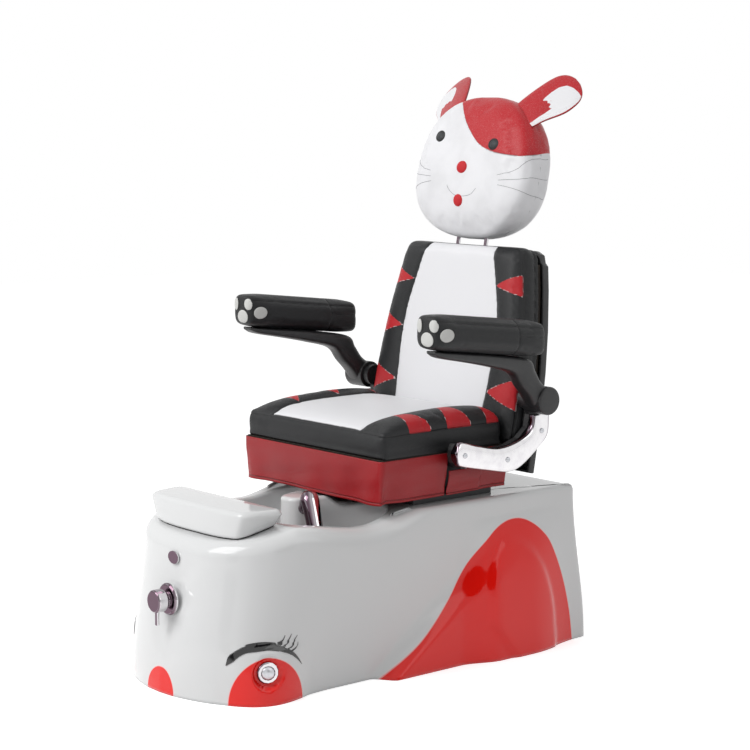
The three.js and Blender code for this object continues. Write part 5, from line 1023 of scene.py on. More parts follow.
def back_form():
    """Rings from the rear face round the sides and in across the face."""
    count = 260
    base = rounded_box_rings(1.0, 1.0, 0.1, [(0, 0)], count)[0][:, :2]

    def ring_at(inset, out):
        up = mix(0.0, BACK_LENGTH, (base[:, 1] + 1) / 2)
        up = np.clip(up, 0.0, BACK_LENGTH)
        across = base[:, 0] * (back_half(up) - inset)
        up = BACK_LENGTH / 2 + (up - BACK_LENGTH / 2) * (1 - 2 * inset / BACK_LENGTH)
        return across, up, out

    rows = [ring_at(0.2, 0.001), ring_at(0.02, 0.001), ring_at(0.006, 0.001)]
    rows += [ring_at(0.004 - 0.003 * np.sin(np.pi * share), mix(0.004, BACK_BAND_TOP, share))
             for share in np.linspace(0, 1, 8)]
    rows += [ring_at(0.003 + 0.011 * (1 - np.cos(angle)), BACK_BAND_TOP + 0.009 * np.sin(angle))
             for angle in (0.4, 0.8, 1.2)]
    grid = [on_back(*row) for row in rows]
    for inset in np.linspace(0.014, 0.19, 40):
        across, up, _ = ring_at(inset, 0)
        edge = np.minimum(back_half(up) - np.abs(across), np.minimum(up, BACK_LENGTH - up))
        rolled = 1 - smooth(edge / BACK_ROLL)
        grid.append(on_back(across, up, mix(back_face(across, up), BACK_SHOULDER, rolled)))
    return skin("back_cushion_pad", np.array(grid), around=True, start=True, end=True)


def back_marks(points):
    """Signed distances for the back: white in the middle, red darts on the wings, seams along both."""
    across, up, out = in_back(points)
    side = np.abs(across)
    front = out - BACK_BAND_TOP
    white = np.minimum(np.minimum(white_half(up) - side, front), WHITE_TOP - up)
    outer = back_half(up) - BACK_WING_SEAM
    reds = darts(side, up, BACK_DARTS, lambda tip: float(white_half(tip)) + 0.002, DART_OUTER)
    reds = np.minimum(reds, outer - side)
    red = np.minimum(reds, front)
    inner_seam = np.where(front > 0, np.abs(side - white_half(up)), 1.0)
    wing_seam = np.where(front > -0.01, np.abs(side - outer), 1.0)
    edge_seam = np.abs(out - BACK_REAR_SEAM)
    seam = np.minimum(np.minimum(inner_seam, wing_seam), edge_seam)
    return {"white": white, "red": red, "seam": seam, "piping": np.where(front > 0, np.abs(reds), 1.0)}


back_pad = plump(back_form(), voxel=0.005, cap=0.004,
                 keep=lambda points: smooth((in_back(points)[2] - 0.003) / 0.01))
stitch(back_pad, back_marks(points_of(back_pad)), CUSHION_CREASE)
wear(back_pad, black_vinyl)
settle(back_pad, "seat", "black_vinyl", "back_cushion")
print("back cushion:", len(back_pad.data.vertices), "points")

# %% [markdown]
# The head is a flattened egg on two posts. Its upper corner on the sitter's left is red, and the eyes,
# nose and mouth are small padded pieces sewn on. The whiskers and the smile are thin cords.

# %% Head
HEAD = dict(half_x=0.188, half_out=0.063, half_up=0.170, up=0.627, out=0.0257, taper=0.07, round=0.42,
            pillow=0.84)


def head_surface(turn, rise, grown=0.0):
    """Across = half * width * cos^0.42, out = half * width * sin^0.42, up = half * sin(rise)^0.84,
    with width = cos(rise)^0.84, a little wider below."""
    up = power(np.sin(rise), HEAD["pillow"])
    width = np.cos(rise) ** HEAD["pillow"] * (1 - HEAD["taper"] * up)
    across = (HEAD["half_x"] + grown) * width * power(np.cos(turn), HEAD["round"])
    out = HEAD["out"] + (HEAD["half_out"] + grown) * width * power(np.sin(turn), HEAD["round"])
    return on_back(across, HEAD["up"] + (HEAD["half_up"] + grown) * up, out)


def head_form():
    turn = np.linspace(0, 2 * np.pi, 160, endpoint=False)
    rise = np.radians(np.linspace(-89, 89, 80))
    return skin("head_plush", head_surface(turn[None, :], rise[:, None], -0.003), around=True, start=True,
                end=True)


HEAD_RED = through([(-0.060, 0.86), (-0.050, 0.784), (-0.044, 0.764), (-0.034, 0.741), (-0.012, 0.716),
                    (0.012, 0.694), (0.032, 0.678), (0.055, 0.666), (0.077, 0.659), (0.100, 0.654),
                    (0.123, 0.651), (0.146, 0.650), (0.170, 0.650), (0.212, 0.657), (0.261, 0.671),
                    (0.33, 0.68), (0.36, 0.86)], 160)


def head_marks(points):
    across, up, out = in_back(points)
    round_side = across + np.clip(0.075 - out, 0, 0.1)
    patch = inside(np.stack([round_side, up], axis=-1), HEAD_RED)
    rim = np.abs(out - HEAD["out"])
    return {"red": patch, "seam": np.where(out > HEAD["out"], np.minimum(np.abs(patch), 1.0),
                                           np.minimum(np.abs(patch), rim))}


head_pad = plump(head_form(), voxel=0.0055, cap=0.0035)
stitch(head_pad, head_marks(points_of(head_pad)), {"seam": (0.0012, 0.003)})
wear(head_pad, white_vinyl)
settle(head_pad, "head", "white_vinyl", "head_cushion")
print("head:", len(head_pad.data.vertices), "points")
# %% [markdown]
# ## Face, ears and paws
# The eyes, nose and mouth are small crowned pads on the plush. Every place on the face is given by
# its distance across and up the head, and the surface formula turns that into a point.

# %% Places on the head
def head_at(across, up, lift=0.0):
    """The front point of the head over (across, up): the formula of head_surface solved for its angles."""
    rise_share = (np.asarray(up, float) - HEAD["up"]) / HEAD["half_up"]
    rise = np.arcsin(np.clip(power(rise_share, 1 / HEAD["pillow"]), -1, 1))
    width = np.cos(rise) ** HEAD["pillow"] * (1 - HEAD["taper"] * rise_share)
    cosine = np.clip(np.abs(across) / (HEAD["half_x"] * width), 0, 1) ** (1 / HEAD["round"])
    out = HEAD["out"] + (HEAD["half_out"] + lift) * width * np.sqrt(1 - cosine**2) ** HEAD["round"]
    return on_back(np.asarray(across, float), np.asarray(up, float), out)


def laid_on(target, points, lift=0.0):
    """The nearest points of a piece's surface, raised by lift, for an array of points."""
    mesh = bpy.data.meshes.new("points to lay")
    mesh.from_pydata((points + (0, SHIFT_Y, 0)).reshape(-1, 3).tolist(), [], [])
    piece = bpy.data.objects.new("points to lay", mesh)
    bpy.context.scene.collection.objects.link(piece)
    wrap = piece.modifiers.new("laid on", "SHRINKWRAP")
    wrap.target, wrap.offset = target, lift
    wrap.wrap_method, wrap.wrap_mode = "NEAREST_SURFACEPOINT", "ABOVE_SURFACE"
    apply_modifier(piece, wrap)
    laid = points_of(piece).reshape(points.shape) - (0, SHIFT_Y, 0)
    bpy.data.objects.remove(piece)
    bpy.data.meshes.remove(mesh)
    return laid


def dome(name, middle, half_across, half_up, height):
    """A crowned oval on the face: height * sqrt(1 - r^2) over the surface, with a short skirt below it."""
    spread = np.concatenate([np.sin(np.linspace(0, np.pi / 2, 12)), [1.0]])
    raised = np.concatenate([height * np.cos(np.linspace(0, np.pi / 2, 12)), [-0.004]])
    turn = np.arange(40) / 40 * 2 * np.pi
    across = middle[0] + half_across * spread[:, None] * np.cos(turn)
    up = middle[1] + half_up * spread[:, None] * np.sin(turn)
    grid = laid_on(head_pad, head_at(across, up)) + raised[:, None, None] * BACK_OUT
    return skin(name, grid, around=True, start=True, end=True)


eye_iris = vinyl("grey eye vinyl", (0.022, 0.025, 0.028), (), 0.3, 0.45, 0.0)
face_red = vinyl("red felt", (0.55, 0.014, 0.020), (), 0.5, 0.65, 0.0)
for name, place in (("right", (-0.094, 0.690)), ("left", (0.087, 0.673))):
    rim = wear(dome("head_eye_ring_" + name, place, 0.0155, 0.0135, 0.0025), plain_black)
    iris = wear(dome("head_eye_" + name, place, 0.0110, 0.0095, 0.0036), eye_iris)
    settle(rim, "head", "black_vinyl")
    settle(iris, "head", "black_vinyl")
for name, place, half_across in (("nose", (-0.002, 0.619), 0.0165), ("mouth", (-0.003, 0.543), 0.0145)):
    bump = wear(dome("head_" + name, place, half_across, 0.0140, 0.005), face_red)
    settle(bump, "head", "red_vinyl")
print("eyes, nose and mouth are on")


# %% Whiskers and smile
def cord(name, line, radius=0.00045):
    """A thin round cord along a line, closed at both ends."""
    return sweep(name, line, np.broadcast_to(ring(8) * radius, (len(line), 8, 2)), up=(0.13, 0.2, 1.0),
                 start=True, end=True)


def head_line(turns, rises):
    turn, rise = (np.radians(np.linspace(*ends, 50)) for ends in (turns, rises))
    return laid_on(head_pad, head_surface(turn, rise), 0.0001)


thread = vinyl("grey thread", (0.20, 0.20, 0.22), (), 0.5, 0.6, 0.0)
WHISKERS = {"left": [((72, -8), (-5.4, 7)), ((70, -10), (-8.7, -4)), ((70, -10), (-12, -18))],
            "right": [((105, 154), (-3.8, 2)), ((104, 154), (-7.5, -5)), ((103, 150), (-10.9, -17))]}
lines = [head_line(turns, rises) for side in WHISKERS.values() for turns, rises in side]
cords = [cord("whisker", line) for line in lines]
smile = through([(-0.044, 0.577), (-0.036, 0.567), (-0.021, 0.557), (-0.003, 0.553), (0.021, 0.554),
                 (0.039, 0.559), (0.053, 0.572)], 50)
cords.append(cord("smile", laid_on(head_pad, head_at(smile[:, 0], smile[:, 1]), 0.0001)))
whiskers = wear(joined("head_whiskers", cords), thread)
settle(whiskers, "head", "black_plastic")
print("whiskers:", len(whiskers.data.vertices), "points")

# %% [markdown]
# Each ear is a flat padded leaf on the top corner of the head. A white patch with a zigzag end lies on its
# lower half, and a seam runs round its edge, pressed in and painted darker as painted shade.

# %% Ears
EAR_SECTIONS = through([(-0.1, 0.86, 0.8), (0.15, 0.95, 1), (0.4, 1, 1), (0.62, 1, 0.95),
                        (0.78, 0.93, 0.85), (0.89, 0.76, 0.7), (0.96, 0.5, 0.5), (1.0, 0.2, 0.22)], 60)
EAR_WHITE = np.array([(-0.2, 0.99), (-0.2, 0.66), (0.20, 0.66), (0.37, 0.60), (0.30, 0.42), (0.40, 0.44),
                      (0.34, 0.20), (0.44, 0.28), (0.30, -0.05), (0.52, -0.16), (0.68, -0.16), (0.80, 0.0),
                      (0.86, 0.3), (0.88, 0.62), (0.86, 0.99)])


EAR_ROOT, EAR_LONG, EAR_HALF, EAR_THICK, EAR_WIDER = (0.128, 0.753, 0.031), 0.132, 0.0505, 0.008, 0.26
EAR_RUN, EAR_ACROSS = (0.057, 0.073, -0.060), (0.9, -0.437, -0.027)


def ear_grid(side):
    """Leaf sections carried along the ear's run, with the number along it and across it for each point."""
    run, across = unit(np.array(EAR_RUN)), np.array(EAR_ACROSS)
    across = unit(across - run * (across @ run))
    out = np.cross(run, across)
    turn = np.arange(48) / 48 * 2 * np.pi
    along, width, thick = (EAR_SECTIONS[:, column][:, None] for column in range(3))
    local = np.array(EAR_ROOT) + along[..., None] * EAR_LONG * run
    wider = 1 + EAR_WIDER * smooth((along - 0.05) / 0.5) * np.clip(np.cos(turn), 0, 1)
    local = local + (np.cos(turn) * EAR_HALF * width * wider)[..., None] * across
    local = local + (power(np.sin(turn), 0.8) * EAR_THICK * thick)[..., None] * out
    grid = on_back(local[..., 0] * side, local[..., 1], local[..., 2])
    share = np.cos(turn) * width
    return grid, np.broadcast_to(along, share.shape), share, np.broadcast_to(np.sin(turn), share.shape)


for name, side in (("left", 1), ("right", -1)):
    grid, along, share, face = ear_grid(side)
    plane = np.stack([along, share * 0.5], axis=-1)
    white = inside(plane, EAR_WHITE * (1, 0.5)) * 0.1
    rim = np.abs(face) * 0.02
    leaf = skin("ear_pad_" + name, grid, around=True, start=True, end=True,
                marks={"white": np.where(np.abs(face) > 0.25, white, -0.01), "seam": rim})
    finer = leaf.modifiers.new("finer", "SUBSURF")
    finer.levels = finer.render_levels = 1
    wear(leaf, red_vinyl)
    settle(leaf, "head", "red_vinyl", "ear_" + name)
print("ears are on")

# %% [markdown]
# The arm pads are long soft boxes with a sleeve seam near the back. Their front ends carry four pale
# paw pads each. The frames under them are smooth forms swept from the channel to the hinge.

# %% Arm pads
PAD_FRONT, PAD_REAR, PAD_X, PAD_HALF, PAD_TALL = -0.031, 0.292, 0.315, 0.0375, 0.076
PAD_LONG, PAD_REAR_Z, PAD_RISE = 0.323, 0.6696, 0.113
PAD_SLEEVE, PAD_HIGH_SEAM, PAD_SLEEVE_SEAM = 0.735, 0.062, 0.042
PAD_FILL = np.array([(0, 0.50), (0.004, 0.70), (0.012, 0.84), (0.03, 0.94), (0.06, 0.985), (0.12, 1),
                     (0.5, 1), (0.93, 1), (0.965, 0.98), (0.985, 0.92), (0.996, 0.80), (1, 0.62)])


def pad_under(y):
    return PAD_REAR_Z + (PAD_REAR - y) * PAD_RISE


def arm_pad_form(side, inset):
    """Squared-off rings along the pad. Near both ends they shrink to round the corners."""
    along = np.concatenate([np.linspace(0, 0.08, 18), np.linspace(0.1, 0.9, 50), np.linspace(0.92, 1, 18)])
    fill = np.interp(along, PAD_FILL[:, 0], PAD_FILL[:, 1])[:, None]
    y = mix(PAD_FRONT + inset, PAD_REAR - inset, along)[:, None]
    turn = (np.arange(64) + 0.5) / 64 * 2 * np.pi
    half = PAD_TALL / 2
    tall = mix(fill, 1.0, 0.3)
    x = side * PAD_X + power(np.cos(turn), 0.5) * (PAD_HALF * fill - inset)
    z = pad_under(y) + half + power(np.sin(turn), 0.5) * (half * tall - inset)
    grid = np.stack(np.broadcast_arrays(x, y, z), axis=-1)
    return skin("arm_pad_soft_" + ("left" if side > 0 else "right"), grid, around=True, start=True, end=True)


def arm_pad_marks(points, side):
    """Seams: one high along each side, one round the sleeve's front end, and one along the sleeve."""
    y = points[:, 1] - SHIFT_Y
    height = points[:, 2] - pad_under(y)
    across = np.abs(points[:, 0] - side * PAD_X)
    along = (y - PAD_FRONT) / (PAD_REAR - PAD_FRONT)
    high = np.where(across > 0.8 * PAD_HALF, np.abs(height - PAD_HIGH_SEAM), 1.0)
    sleeve = np.abs(along - PAD_SLEEVE) * PAD_LONG
    side_line = np.where(along > PAD_SLEEVE, np.abs(height - PAD_SLEEVE_SEAM), 1.0)
    return {"seam": np.minimum(np.minimum(high, sleeve), side_line), "white": np.full(len(y), -0.01),
            "red": np.full(len(y), -0.01), "piping": np.ones(len(y))}


for body, side in (("arm_left", 1), ("arm_right", -1)):
    pad = plump(arm_pad_form(side, 0.0015), voxel=0.004, cap=0.0025)
    stitch(pad, arm_pad_marks(points_of(pad), side), {"seam": (0.0014, 0.003)})
    wear(pad, black_vinyl)
    settle(pad, body, "black_vinyl", "arm_pad_left" if side > 0 else "arm_pad_right")
print("arm pads:", len(pad.data.vertices), "points each")

# %% Paw pads
PAWS = [((0.322, -0.034, 0.727), 0.0185, 0.0165), ((0.297, -0.034, 0.757), 0.0085, 0.0150),
        ((0.343, -0.033, 0.759), 0.0140, 0.0140), ((0.3535, -0.002, 0.737), 0.0180, 0.0140)]


def paw_oval(name, pad, side, place, half_across, half_up):
    """A crowned oval that follows the arm pad: a disc beside the pad, laid onto its nearest points."""
    place = np.array(place) + ((side - 1) * PAD_X, SHIFT_Y, 0)
    found, spot, outward, _ = pad.closest_point_on_mesh(tuple(place))
    outward = unit(np.array(outward) * (1, 1, 0.0))
    across = np.array([-outward[1], outward[0], 0.0])
    spread = np.linspace(0, 1, 12)
    turn = np.arange(36) / 36 * 2 * np.pi
    disc = np.array(spot) + outward * 0.004
    grid = (disc + (half_across * spread[:, None] * np.cos(turn))[..., None] * across
            + (half_up * spread[:, None] * np.sin(turn))[..., None] * np.array([0, 0, 1.0]))
    oval = skin(name, grid, around=True, start=True, lift=False)
    laid = oval.modifiers.new("laid on", "SHRINKWRAP")
    laid.target, laid.wrap_method, laid.wrap_mode = pad, "NEAREST_SURFACEPOINT", "OUTSIDE_SURFACE"
    laid.offset = 0.0002
    apply_modifier(oval, laid)
    base = points_of(oval)
    reach = np.hypot((base - np.array(spot)) @ across / half_across, (base[:, 2] - spot[2]) / half_up)
    move_to(oval, base + outward * (0.0016 * np.sqrt(np.clip(1 - reach**2, 0, 1)))[:, None])
    wall = oval.modifiers.new("wall", "SOLIDIFY")
    wall.thickness, wall.offset = 0.0014, 0.0
    apply_modifier(oval, wall)
    return oval


paw_vinyl = vinyl("pale paw vinyl", (0.62, 0.62, 0.60), (), 0.35, 0.5)
for body, side, word in (("arm_left", 1, "left"), ("arm_right", -1, "right")):
    pad = bpy.data.objects["arm_pad_soft_" + word]
    ovals = [paw_oval("paw", pad, side, *spec) for spec in PAWS]
    paw = wear(joined("paw_pads_" + word, ovals), paw_vinyl)
    settle(paw, body, "white_vinyl", "paw_patch_" + word)
print("paw pads:", len(paw.data.vertices), "points each")
# %% [markdown]
# ## Skirts
# The skirts are single sheets of red vinyl that hang from the seat board. They follow the board's
# edge, draw in a little towards the hem, and hold soft folds that grow downwards.

# %% Skirt sheets
SKIRT_TOP, SKIRT_LOW, SKIRT_X, SKIRT_Y, SKIRT_TURN = 0.4677, 0.3742, 0.2368, -0.0812, 0.010
SLIT_FRONT, SLIT_REAR, SKIRT_REAR = 0.106, 0.111, 0.287
HALF_FRONT_RUN, CORNER_RUN, SIDE_RUN = 0.2268, 0.0157, 0.1772
NOTCH = (0.206, 0.428)


def skirt_path():
    """The front skirt's line seen from above, with its outward direction, at even steps."""
    turn = np.linspace(0, np.pi / 2, 12)
    corner = np.column_stack([SKIRT_X - SKIRT_TURN + SKIRT_TURN * np.sin(turn),
                              SKIRT_Y + SKIRT_TURN * (1 - np.cos(turn))])
    half = np.concatenate([[[0, SKIRT_Y]], corner, [[SKIRT_X, SLIT_FRONT]]])
    whole = np.concatenate([(half * (-1, 1))[:0:-1], half])
    line = evenly(whole, 340)
    run = unit(np.gradient(line, axis=0))
    return line, np.column_stack([run[:, 1], -run[:, 0]])


def hang(name, line, outward, folds, taper, notch=None):
    """A sheet from its top line down to the hem. Each fold is (place along the line, width, depth),
    and in front of a notch's y the top starts no higher than the notch's z."""
    count = len(line)
    run = np.concatenate([[0], np.cumsum(np.linalg.norm(np.diff(line, axis=0), axis=1))])
    share = np.linspace(0, 1, 40)[:, None]
    swell = sum(depth * np.exp(-(((run - place) / width) ** 2)) for place, width, depth in folds)
    out = swell * share**1.6 - taper * smooth((share - 0.15) / 0.85)
    out = out + 0.0009 * np.sin(run * 61 + 2 * share) * share
    out = out + 0.0006 * np.sin(run * 23 + 14 * share) * share
    grid = np.empty((40, count, 3))
    grid[..., 0] = line[:, 0] + outward[:, 0] * out
    grid[..., 1] = line[:, 1] + outward[:, 1] * out
    sag = sum(0.25 * depth * np.exp(-(((run - place) / (1.5 * width)) ** 2)) for place, width, depth in folds)
    grid[..., 2] = mix(SKIRT_TOP, SKIRT_LOW, share) - sag * share
    # A seam line about 6 mm above the hem, which the vinyl presses in and paints darker as painted shade.
    hem = (1 - share) * (SKIRT_TOP - SKIRT_LOW) - 0.006
    if notch is not None:
        grid[..., 2] = np.where(line[:, 1] < notch[0],
                                np.minimum(grid[..., 2], mix(notch[1], SKIRT_LOW, share)),
                                grid[..., 2])
    return skin(name, grid, marks={"seam": np.broadcast_to(hem, (40, count)),
                                   "white": np.full((40, count), -0.01)})


front_line, front_out = skirt_path()
middle_run = HALF_FRONT_RUN + CORNER_RUN + SIDE_RUN
front_folds = [(middle_run + 0.205, 0.030, 0.006), (middle_run + 0.262, 0.022, -0.004),
               (middle_run + 0.330, 0.05, 0.002), (middle_run - 0.205, 0.030, 0.004),
               (middle_run + 0.06, 0.09, 0.003), (middle_run - 0.10, 0.05, -0.002)]
front_taper = np.where(np.abs(front_out[:, 0]) > 0.7, 0.011, 0.005)
front_taper = np.convolve(np.pad(front_taper, 8, mode="edge"), np.ones(17) / 17, mode="valid")
skirt = hang("skirt_front_sheet", front_line, front_out, front_folds, front_taper)
sheets = [(skirt, "skirt_front", (0.840, 0.0945))]
for word, side in (("left", 1), ("right", -1)):
    side_y = np.linspace(SLIT_REAR, SKIRT_REAR, 90)
    line = np.column_stack([np.full(90, side * SKIRT_X), side_y])
    outward = np.tile([float(side), 0.0], (90, 1))
    folds = [(0.03, 0.03, 0.002), (0.12, 0.03, -0.002)]
    side_sheet = hang("skirt_side_sheet_" + word, line, outward, folds, 0.011, notch=NOTCH)
    sheets.append((side_sheet, "skirt_side_" + word, (0.176, 0.0945)))
for sheet_piece, node, flat in sheets:
    thicken(sheet_piece, 0.0015, 0.0)
    wear(sheet_piece, skirt_vinyl)
    settle(sheet_piece, "seat", "red_vinyl", node)

# %% [markdown]
# ## Footrest and spout
# The footrest is a gelcoat block with eased edges and a slight crown. The spout is one swept tube that
# swells at its elbow and ends open.

# %% Footrest
FOOT_HALF, FOOT_FRONT, FOOT_CORNER, FOOT_REAR, FOOT_TOP = 0.156, -0.399, -0.386, -0.294, 0.388
FOOT_ROUND, FOOT_FLARE, FOOT_CROWN, GASKET_THICK = 0.011, 0.018, 0.003, 0.0046


def footrest_outline(inset, flare):
    """The block's plan: a bowed front edge, rounded corners and sides that open towards the rear."""
    side = FOOT_HALF - inset + flare
    step = (FOOT_REAR - FOOT_CORNER) / 7
    stops = [(share * side, mix(FOOT_FRONT, FOOT_CORNER, bow) + inset)
             for share, bow in ((0, 0), (0.3, 0.02), (0.6, 0.2), (0.82, 0.62), (0.92, 1))]
    stops += [(side * 0.975, FOOT_CORNER + inset + step), (side, FOOT_CORNER + inset + 2.2 * step),
              (side * 1.03, FOOT_REAR - inset - 1.4 * step), (side * 1.02, FOOT_REAR - inset - 0.4 * step),
              (side * 0.985, FOOT_REAR - inset), (side * 0.9, FOOT_REAR - inset), (0, FOOT_REAR - inset)]
    right = through(stops, 90)
    return np.concatenate([right, (right * (-1, 1))[-2:0:-1]])


def footrest_form():
    """Levels of the outline, each (inset, flare, share of the height, rise), then a crowned top."""
    levels = [(0.0012, 0.0, None, 0.0), (0.0, 0.0010, None, 0.004)]
    levels += [(0.0, FOOT_FLARE * share, share, 0.0) for share in np.linspace(0.12, 1.0, 10)]
    levels += [(FOOT_ROUND * (1 - np.cos(angle)), FOOT_FLARE, 2.0, FOOT_ROUND * np.sin(angle))
               for angle in np.linspace(0.15, np.pi / 2, 9)]
    rings = []
    for inset, flare, share, rise in levels:
        plan = footrest_outline(inset, flare)
        low = tub_top(plan[:, 0] * 0, plan[:, 1]) + GASKET_THICK
        shoulder = FOOT_TOP - FOOT_ROUND
        if share is None:
            z = low + rise
        elif share <= 1:
            z = mix(low + 0.004, shoulder, share)
        else:
            z = np.full(len(plan), shoulder + rise)
        rings.append(np.column_stack([plan, z]))
    middle = np.array([0.0, rings[-1][:, 1].mean()])
    for share in np.linspace(0.94, 0.02, 14):
        plan = middle + (rings[len(levels) - 1][:, :2] - middle) * share
        rings.append(np.column_stack([plan, np.full(len(plan), FOOT_TOP + FOOT_CROWN * (1 - share**2))]))
    return skin("footrest_block", np.array(rings), around=True, start=True, end=True)


footrest = wear(footrest_form(), plain_gelcoat)
settle(footrest, "base", "tub_gelcoat", "footrest")
print("footrest:", len(footrest.data.vertices), "points")

# %% Spout
SPOUT_TURN = math.radians(75)
SPOUT_AXIS = np.array([math.sin(SPOUT_TURN), -math.cos(SPOUT_TURN), 0.0])
SPOUT_PLACE = np.array([0.021, -0.121, 0.346])
SPOUT_LINE = [(0.0053, 0.0, 0.0140), (0.018, 0.003, 0.0142), (0.030, 0.017, 0.0172), (0.041, 0.024, 0.0200),
              (0.051, 0.010, 0.0192), (0.065, -0.020, 0.0178), (0.080, -0.054, 0.0170)]
SPOUT_LIP, SPOUT_WALL, SPOUT_INSIDE = [(0.0006, 0.0166), (0.0010, 0.0158), (0.0006, 0.0150)], 0.0022, 24
FLANGE_PROFILE = [(0.0066, 0.0), (0.022, 0.0), (0.022, 0.0022), (0.0185, 0.0048), (0.0066, 0.0050),
                  (0.0066, 0.0)]


def spout_form():
    """Round rings along the spout's line. At the outlet they turn over the lip and run back inside."""
    stops = through(SPOUT_LINE, 60)
    back = slice(-2, -2 - SPOUT_INSIDE, -1)
    line = SPOUT_PLACE + stops[:, :1] * SPOUT_AXIS + stops[:, 1:2] * (0.0, 0.0, 1.0)
    ends = unit(line[-1] - line[-2])
    radii = stops[:, 2]
    line = np.concatenate([line, [line[-1] + ends * out for out, _ in SPOUT_LIP], line[back]])
    radii = np.concatenate([radii, [radius for _, radius in SPOUT_LIP], stops[back, 2] - SPOUT_WALL])
    run = unit(np.gradient(stops[:, :2], axis=0))
    run = np.concatenate([run, np.tile(run[-1], (len(SPOUT_LIP), 1)), run[back]])
    along = run[:, :1] * SPOUT_AXIS + run[:, 1:2] * (0.0, 0.0, 1.0)
    across = np.cross(SPOUT_AXIS, (0.0, 0.0, 1.0))
    rise = np.cross(across, along)
    turn = np.arange(48) / 48 * 2 * np.pi
    round_turn = np.cos(turn)[None, :, None] * across + np.sin(turn)[None, :, None] * rise[:, None]
    grid = line[:, None] + radii[:, None, None] * round_turn
    return skin("spout_tube", grid, around=True, start=True, end=True)


spout = wear(spout_form(), chrome)
settle(spout, "base", "chrome", "spout")
flange = lathe("spout_rosette", FLANGE_PROFILE, SPOUT_AXIS, SPOUT_PLACE)
settle(wear(flange, chrome), "base", "chrome", "spout_flange")
print("spout:", len(spout.data.vertices), "points")

# %% [markdown]
# ## Arm frames and side brackets
# Each arm frame is a smooth swept form that ends in a drum on the hinge. The chromed bracket is a
# thick band whose outer edges are rounded over.

# %% Arm frames
HINGE_Y, HINGE_Z, HINGE_REACH, HINGE_X = 0.321, 0.570, 0.099, 0.2705
FRAME_HALF, FRAME_REAR_X, FRAME_DROP, PAD_GAP = 0.023, 0.3005, 0.028, 0.0004
DRUM_PROFILE = [(0.0, 0.0573), (0.0084, 0.0573), (0.0084, 0.0), (0.030, 0.0), (0.031, 0.001), (0.031, 0.058),
                (0.0285, 0.0615), (0.0, 0.0615)]
FRAME_STOPS = []
for up_share, low_share, drop, width in ((0.055, 0.06, 0.29, 0.6), (0.12, 0.13, 0.54, 0.92),
                                         (0.35, 0.35, 0.75, 1.0), (0.57, 0.57, 1.0, 1.0)):
    up_y, low_y = PAD_FRONT + up_share * PAD_LONG, PAD_FRONT + low_share * PAD_LONG
    FRAME_STOPS.append((up_y, pad_under(up_y) - PAD_GAP,
                        low_y, pad_under(low_y) - PAD_GAP - drop * FRAME_DROP, width))
for up, low, width in (((-0.556, 0.97), (-1, 0.687), 1), ((-0.333, 0.707), (-0.717, 0.364), 1),
                       ((-0.152, 0.444), (-0.475, 0.121), 1.05), ((0.091, 0.263), (-0.273, -0.141), 1.12)):
    FRAME_STOPS.append((HINGE_Y + up[0] * HINGE_REACH, HINGE_Z + up[1] * HINGE_REACH,
                        HINGE_Y + low[0] * HINGE_REACH, HINGE_Z + low[1] * HINGE_REACH, width))


def arm_frame_form(side, word):
    """Squared-off sections from the pad's channel to the hinge, joined to a bored drum with an eased rim."""
    stops = through(FRAME_STOPS, 90)
    share = np.linspace(0, len(FRAME_STOPS) - 1, 90)
    centre = mix(PAD_X, FRAME_REAR_X, smooth((share - 2) / (len(FRAME_STOPS) - 3)))
    turn = (np.arange(48) + 0.5) / 48 * 2 * np.pi
    across, lift = power(np.cos(turn), 0.6), power(np.sin(turn), 0.6)
    x = side * (centre[:, None] + across * FRAME_HALF * stops[:, 4:5])
    y = (stops[:, :1] + stops[:, 2:3]) / 2 + (stops[:, :1] - stops[:, 2:3]) / 2 * lift
    z = (stops[:, 1:2] + stops[:, 3:4]) / 2 + (stops[:, 1:2] - stops[:, 3:4]) / 2 * lift
    body = skin("arm_frame_body", np.stack([x, y, z], axis=-1), around=True, start=True, end=True)
    drum = lathe("arm_frame_drum", DRUM_PROFILE, (side, 0, 0), (side * HINGE_X, HINGE_Y, HINGE_Z),
                 soft=0.0015)
    return joined("arm_frame_form_" + word, [body, drum])


for body, word, side in (("arm_left", "left", 1), ("arm_right", "right", -1)):
    arm = wear(arm_frame_form(side, word), black_plastic)
    settle(arm, body, "black_plastic", "arm_frame_" + word)
print("arm frames:", len(arm.data.vertices), "points each")

# %% Chromed brackets
BRACKET_LOWER = [(-0.95, -0.7), (-0.93, -0.79), (-0.87, -0.84), (-0.58, -0.94), (-0.33, -1.01),
                 (-0.17, -0.96), (0.04, -0.73), (0.16, -0.54), (0.18, -0.24)]
BRACKET_UPPER = [(-0.02, -0.24), (-0.06, -0.45), (-0.23, -0.59), (-0.44, -0.64), (-0.68, -0.57),
                 (-0.87, -0.49), (-0.92, -0.52), (-0.945, -0.6)]


BRACKET_LONG, BRACKET_TALL, BRACKET_X, BRACKET_HALF, BRACKET_ROWS = 0.248, 0.151, 0.280, 0.0108, 200


def bracket_form(side, word):
    """Squared-off sections between the lower and the upper line, rounded over towards the face."""
    scale, hinge = np.array([BRACKET_LONG, BRACKET_TALL]), np.array([HINGE_Y, HINGE_Z])
    lower = through(BRACKET_LOWER, BRACKET_ROWS) * scale + hinge
    upper = through(BRACKET_UPPER[::-1], BRACKET_ROWS) * scale + hinge
    turn = (np.arange(56) + 0.5) / 56 * 2 * np.pi
    across, lift = power(np.cos(turn), 0.55), power(np.sin(turn), 0.62)
    x = side * (BRACKET_X + BRACKET_HALF * across) + np.zeros((BRACKET_ROWS, 1))
    middle, half = (lower + upper) / 2, (upper - lower) / 2
    y, z = (middle[:, axis, None] + half[:, axis, None] * lift for axis in (0, 1))
    return skin("side_bracket_band_" + word, np.stack([x, y, z], axis=-1), around=True, start=True, end=True)


